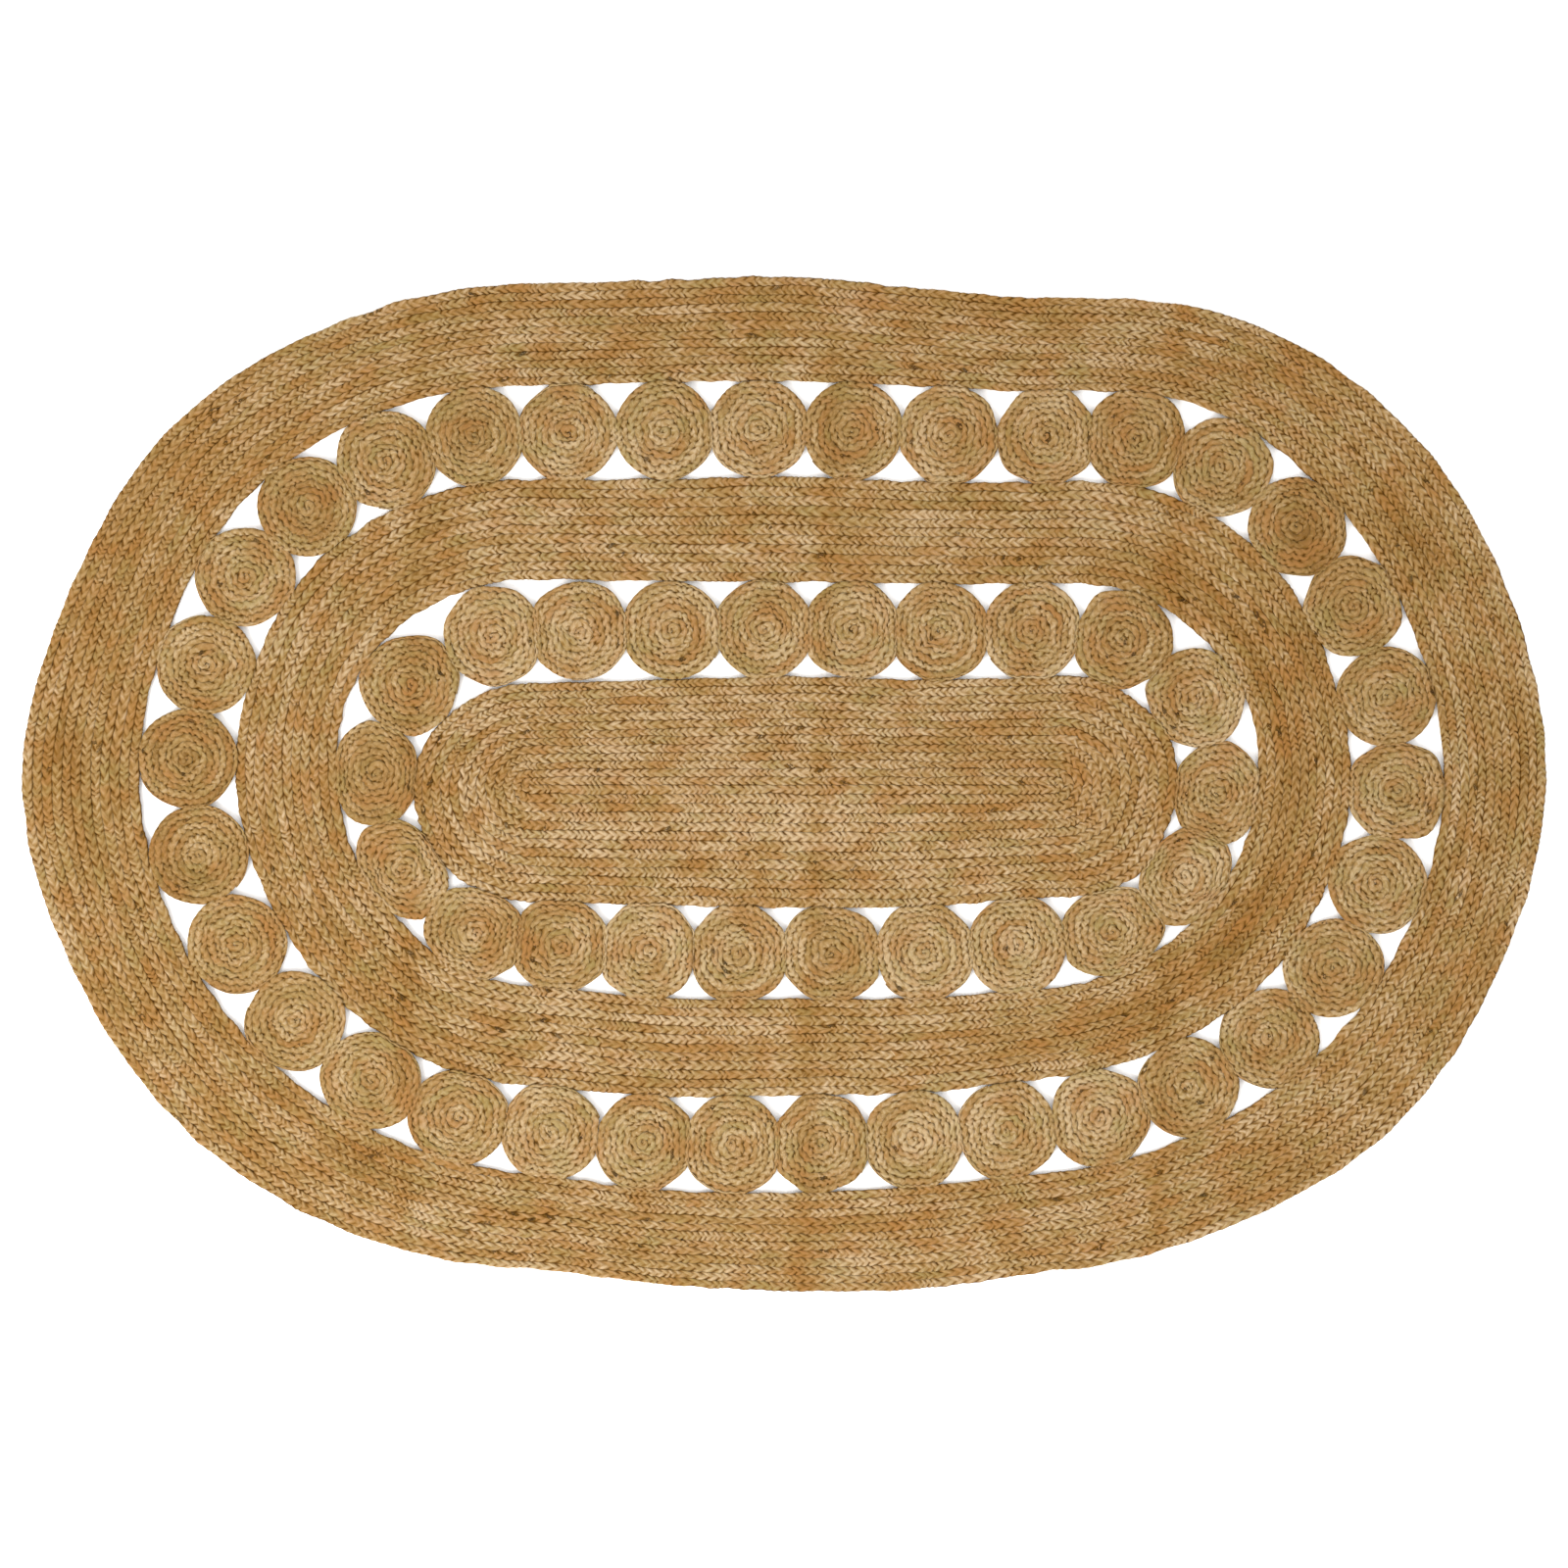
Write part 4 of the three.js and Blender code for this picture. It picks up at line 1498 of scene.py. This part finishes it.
        # Painted shade: the dark colour in the deepest hollows, where specular and sheen are also
        # turned down.
        deep = wiring.ramp(hollow, *self.deep_range)
        colour = wiring.mix(wiring.math("MULTIPLY", deep, self.hollow_dark), colour, self.hollow)
        open_share = wiring.math("SUBTRACT", 1.0, wiring.math("MAXIMUM", deep, out["Fleck"]))
        bump = wiring.node(
            "ShaderNodeBump",
            {"Height": fibre.outputs["Height"], "Distance": self.fibre_relief, "Strength": 1.0},
        )
        rough = wiring.node(
            "ShaderNodeMapRange",
            {
                "Value": fibre.outputs["Tone"],
                "To Min": self.roughness[0],
                "To Max": self.roughness[1],
            },
        )
        shader = wiring.node(
            "ShaderNodeBsdfPrincipled",
            {
                "Base Color": colour,
                "Roughness": rough.outputs["Result"],
                "Specular IOR Level": wiring.math("MULTIPLY", open_share, self.specular),
                "Sheen Weight": wiring.math("MULTIPLY", open_share, self.sheen),
                "Sheen Roughness": self.sheen_roughness,
                "Sheen Tint": self.sheen_tint,
                "Normal": bump.outputs["Normal"],
            },
        )
        wiring.node("ShaderNodeOutputMaterial", {"Surface": shader.outputs["BSDF"]})
        return material


BAND_FINISH = JuteFinish(
    name="plaited_jute",
    dark=(0.110, 0.056, 0.014, 1),
    straw=(0.242, 0.152, 0.061, 1),
    pale=(0.364, 0.269, 0.165, 1),
    amber=(0.228, 0.102, 0.028, 1),
    olive=(0.182, 0.136, 0.042, 1),
    fleck=(0.010, 0.004, 0.001, 1),
)
COIL_FINISH = JuteFinish(
    name="coiled_jute",
    dark=(0.114, 0.060, 0.015, 1),
    straw=(0.230, 0.146, 0.057, 1),
    pale=(0.338, 0.247, 0.142, 1),
    amber=(0.224, 0.103, 0.030, 1),
    olive=(0.180, 0.136, 0.042, 1),
    fleck=(0.010, 0.004, 0.001, 1),
    hollow_dark=0.72,
)


@dataclass(frozen=True)
class Studio:
    """A pale floor, a broad soft light from the lower left and a camera straight above."""

    floor_half: float = 6.0
    floor_drop: float = 0.0005
    floor_colour: Colour = (0.94, 0.94, 0.94, 1)
    floor_roughness: float = 0.9
    floor_specular: float = 0.1
    view_width: float = 1.8522
    camera_height: float = 4.0
    rug_top: float = 0.008
    sensor: float = 36.0
    key_place: tuple[float, float, float] = (-2.3, -2.3, 3.0)
    key_size: float = 2.2
    key_power: float = 220.0
    key_colour: tuple[float, float, float] = (1.0, 0.98, 0.95)
    dome_light: float = 1.60
    dome_colour: Colour = (1.0, 0.995, 0.985, 1)

    def build(self) -> None:
        """Makes the floor, the lights and the camera."""
        self.lay_floor()
        self.hang_lights()
        self.set_camera()

    def lay_floor(self) -> None:
        """A plain floor just under the rug."""
        half = self.floor_half
        corners = [(-half, -half, 0), (half, -half, 0), (half, half, 0), (-half, half, 0)]
        mesh = bpy.data.meshes.new("floor")
        mesh.from_pydata(corners, [], [(0, 1, 2, 3)])
        material = bpy.data.materials.new("floor_paint")
        material.use_nodes = True
        shader = material.node_tree.nodes["Principled BSDF"]
        shader.inputs["Base Color"].default_value = self.floor_colour
        shader.inputs["Roughness"].default_value = self.floor_roughness
        shader.inputs["Specular IOR Level"].default_value = self.floor_specular
        mesh.materials.append(material)
        floor = bpy.data.objects.new("floor", mesh)
        floor.location.z = -self.floor_drop
        bpy.context.scene.collection.objects.link(floor)

    def hang_lights(self) -> None:
        """A dome of even light, and one broad lamp for the shape of the plait."""
        world = bpy.data.worlds.new("even_light")
        world.use_nodes = True
        background = world.node_tree.nodes["Background"]
        background.inputs["Color"].default_value = self.dome_colour
        background.inputs["Strength"].default_value = self.dome_light
        bpy.context.scene.world = world
        lamp = bpy.data.lights.new("broad_lamp", "AREA")
        lamp.size = self.key_size
        lamp.energy = self.key_power
        lamp.color = self.key_colour
        key = bpy.data.objects.new("broad_lamp", lamp)
        key.location = self.key_place
        aim = -np.array(self.key_place)
        key.rotation_mode = "QUATERNION"
        key.rotation_quaternion = Vector(aim).to_track_quat("-Z", "Y")
        bpy.context.scene.collection.objects.link(key)
        bpy.context.scene.view_settings.view_transform = "Standard"

    def set_camera(self) -> None:
        """A long lens straight above the middle of the rug, with +Y up the picture."""
        data = bpy.data.cameras.new("camera")
        data.sensor_width = self.sensor
        data.lens = self.sensor * self.camera_height / self.view_width
        camera = bpy.data.objects.new("camera", data)
        camera.location = (0, 0, self.camera_height + self.rug_top)
        bpy.context.scene.collection.objects.link(camera)
        bpy.context.scene.camera = camera


def rug_parts() -> list[PlaitedRows | DiscRing]:
    """The rug's parts, from the middle outwards. The outer band is laid in two pieces."""
    outer_band = PlaitedRows(
        "outer_band_inner_rows",
        "outer_band",
        Edge.OUTER_INSIDE,
        Edge.RIM,
        rows=12,
        first=0,
        last=6,
        seed=13,
    )
    return [
        PlaitedRows(
            "centre_oval_rows",
            "centre_oval",
            Edge.SEAM,
            Edge.CENTRE_EDGE,
            rows=13,
            first=0,
            last=13,
            seed=11,
            pattern=FLAT_PLAIT,
        ),
        DiscRing(
            "inner_disc",
            Edge.CENTRE_EDGE,
            Edge.MIDDLE_INSIDE,
            Edge.INNER_CREEP,
            count=22,
            first_at=-0.006,
            seed=200,
        ),
        PlaitedRows(
            "middle_band_rows",
            "middle_band",
            Edge.MIDDLE_INSIDE,
            Edge.MIDDLE_OUTSIDE,
            rows=11,
            first=0,
            last=11,
            seed=12,
        ),
        DiscRing(
            "outer_disc",
            Edge.MIDDLE_OUTSIDE,
            Edge.OUTER_INSIDE,
            Edge.OUTER_CREEP,
            count=34,
            first_at=0.109,
            seed=300,
        ),
        outer_band,
        replace(outer_band, name="outer_band_rim_rows", first=6, last=12, seed=14),
    ]


def main() -> None:
    """Builds the rug and the studio, and reports each piece."""
    logging.basicConfig(level=logging.INFO, format="%(message)s")
    fibres = FibreLook().group()
    dye_group = StrandLook().group()
    materials = {
        Slot.BAND.value: BAND_FINISH.material(fibres, dye_group),
        Slot.COIL.value: COIL_FINISH.material(fibres, dye_group),
    }
    plan = RugPlan()
    lie = LieOfTheRug()
    jute_tones = RugTones(lie)
    total = 0
    for part in rug_parts():
        made = part.build(plan, lie, jute_tones)
        for piece in made if isinstance(made, list) else [made]:
            piece.data.materials.append(materials[piece["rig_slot"]])
            triangles = triangles_in(piece)
            total += triangles
            LOG.info("%s: %d triangles", piece.name, triangles)
    LOG.info("all pieces: %d triangles", total)
    Studio().build()


if __name__ == "__main__":
    main()
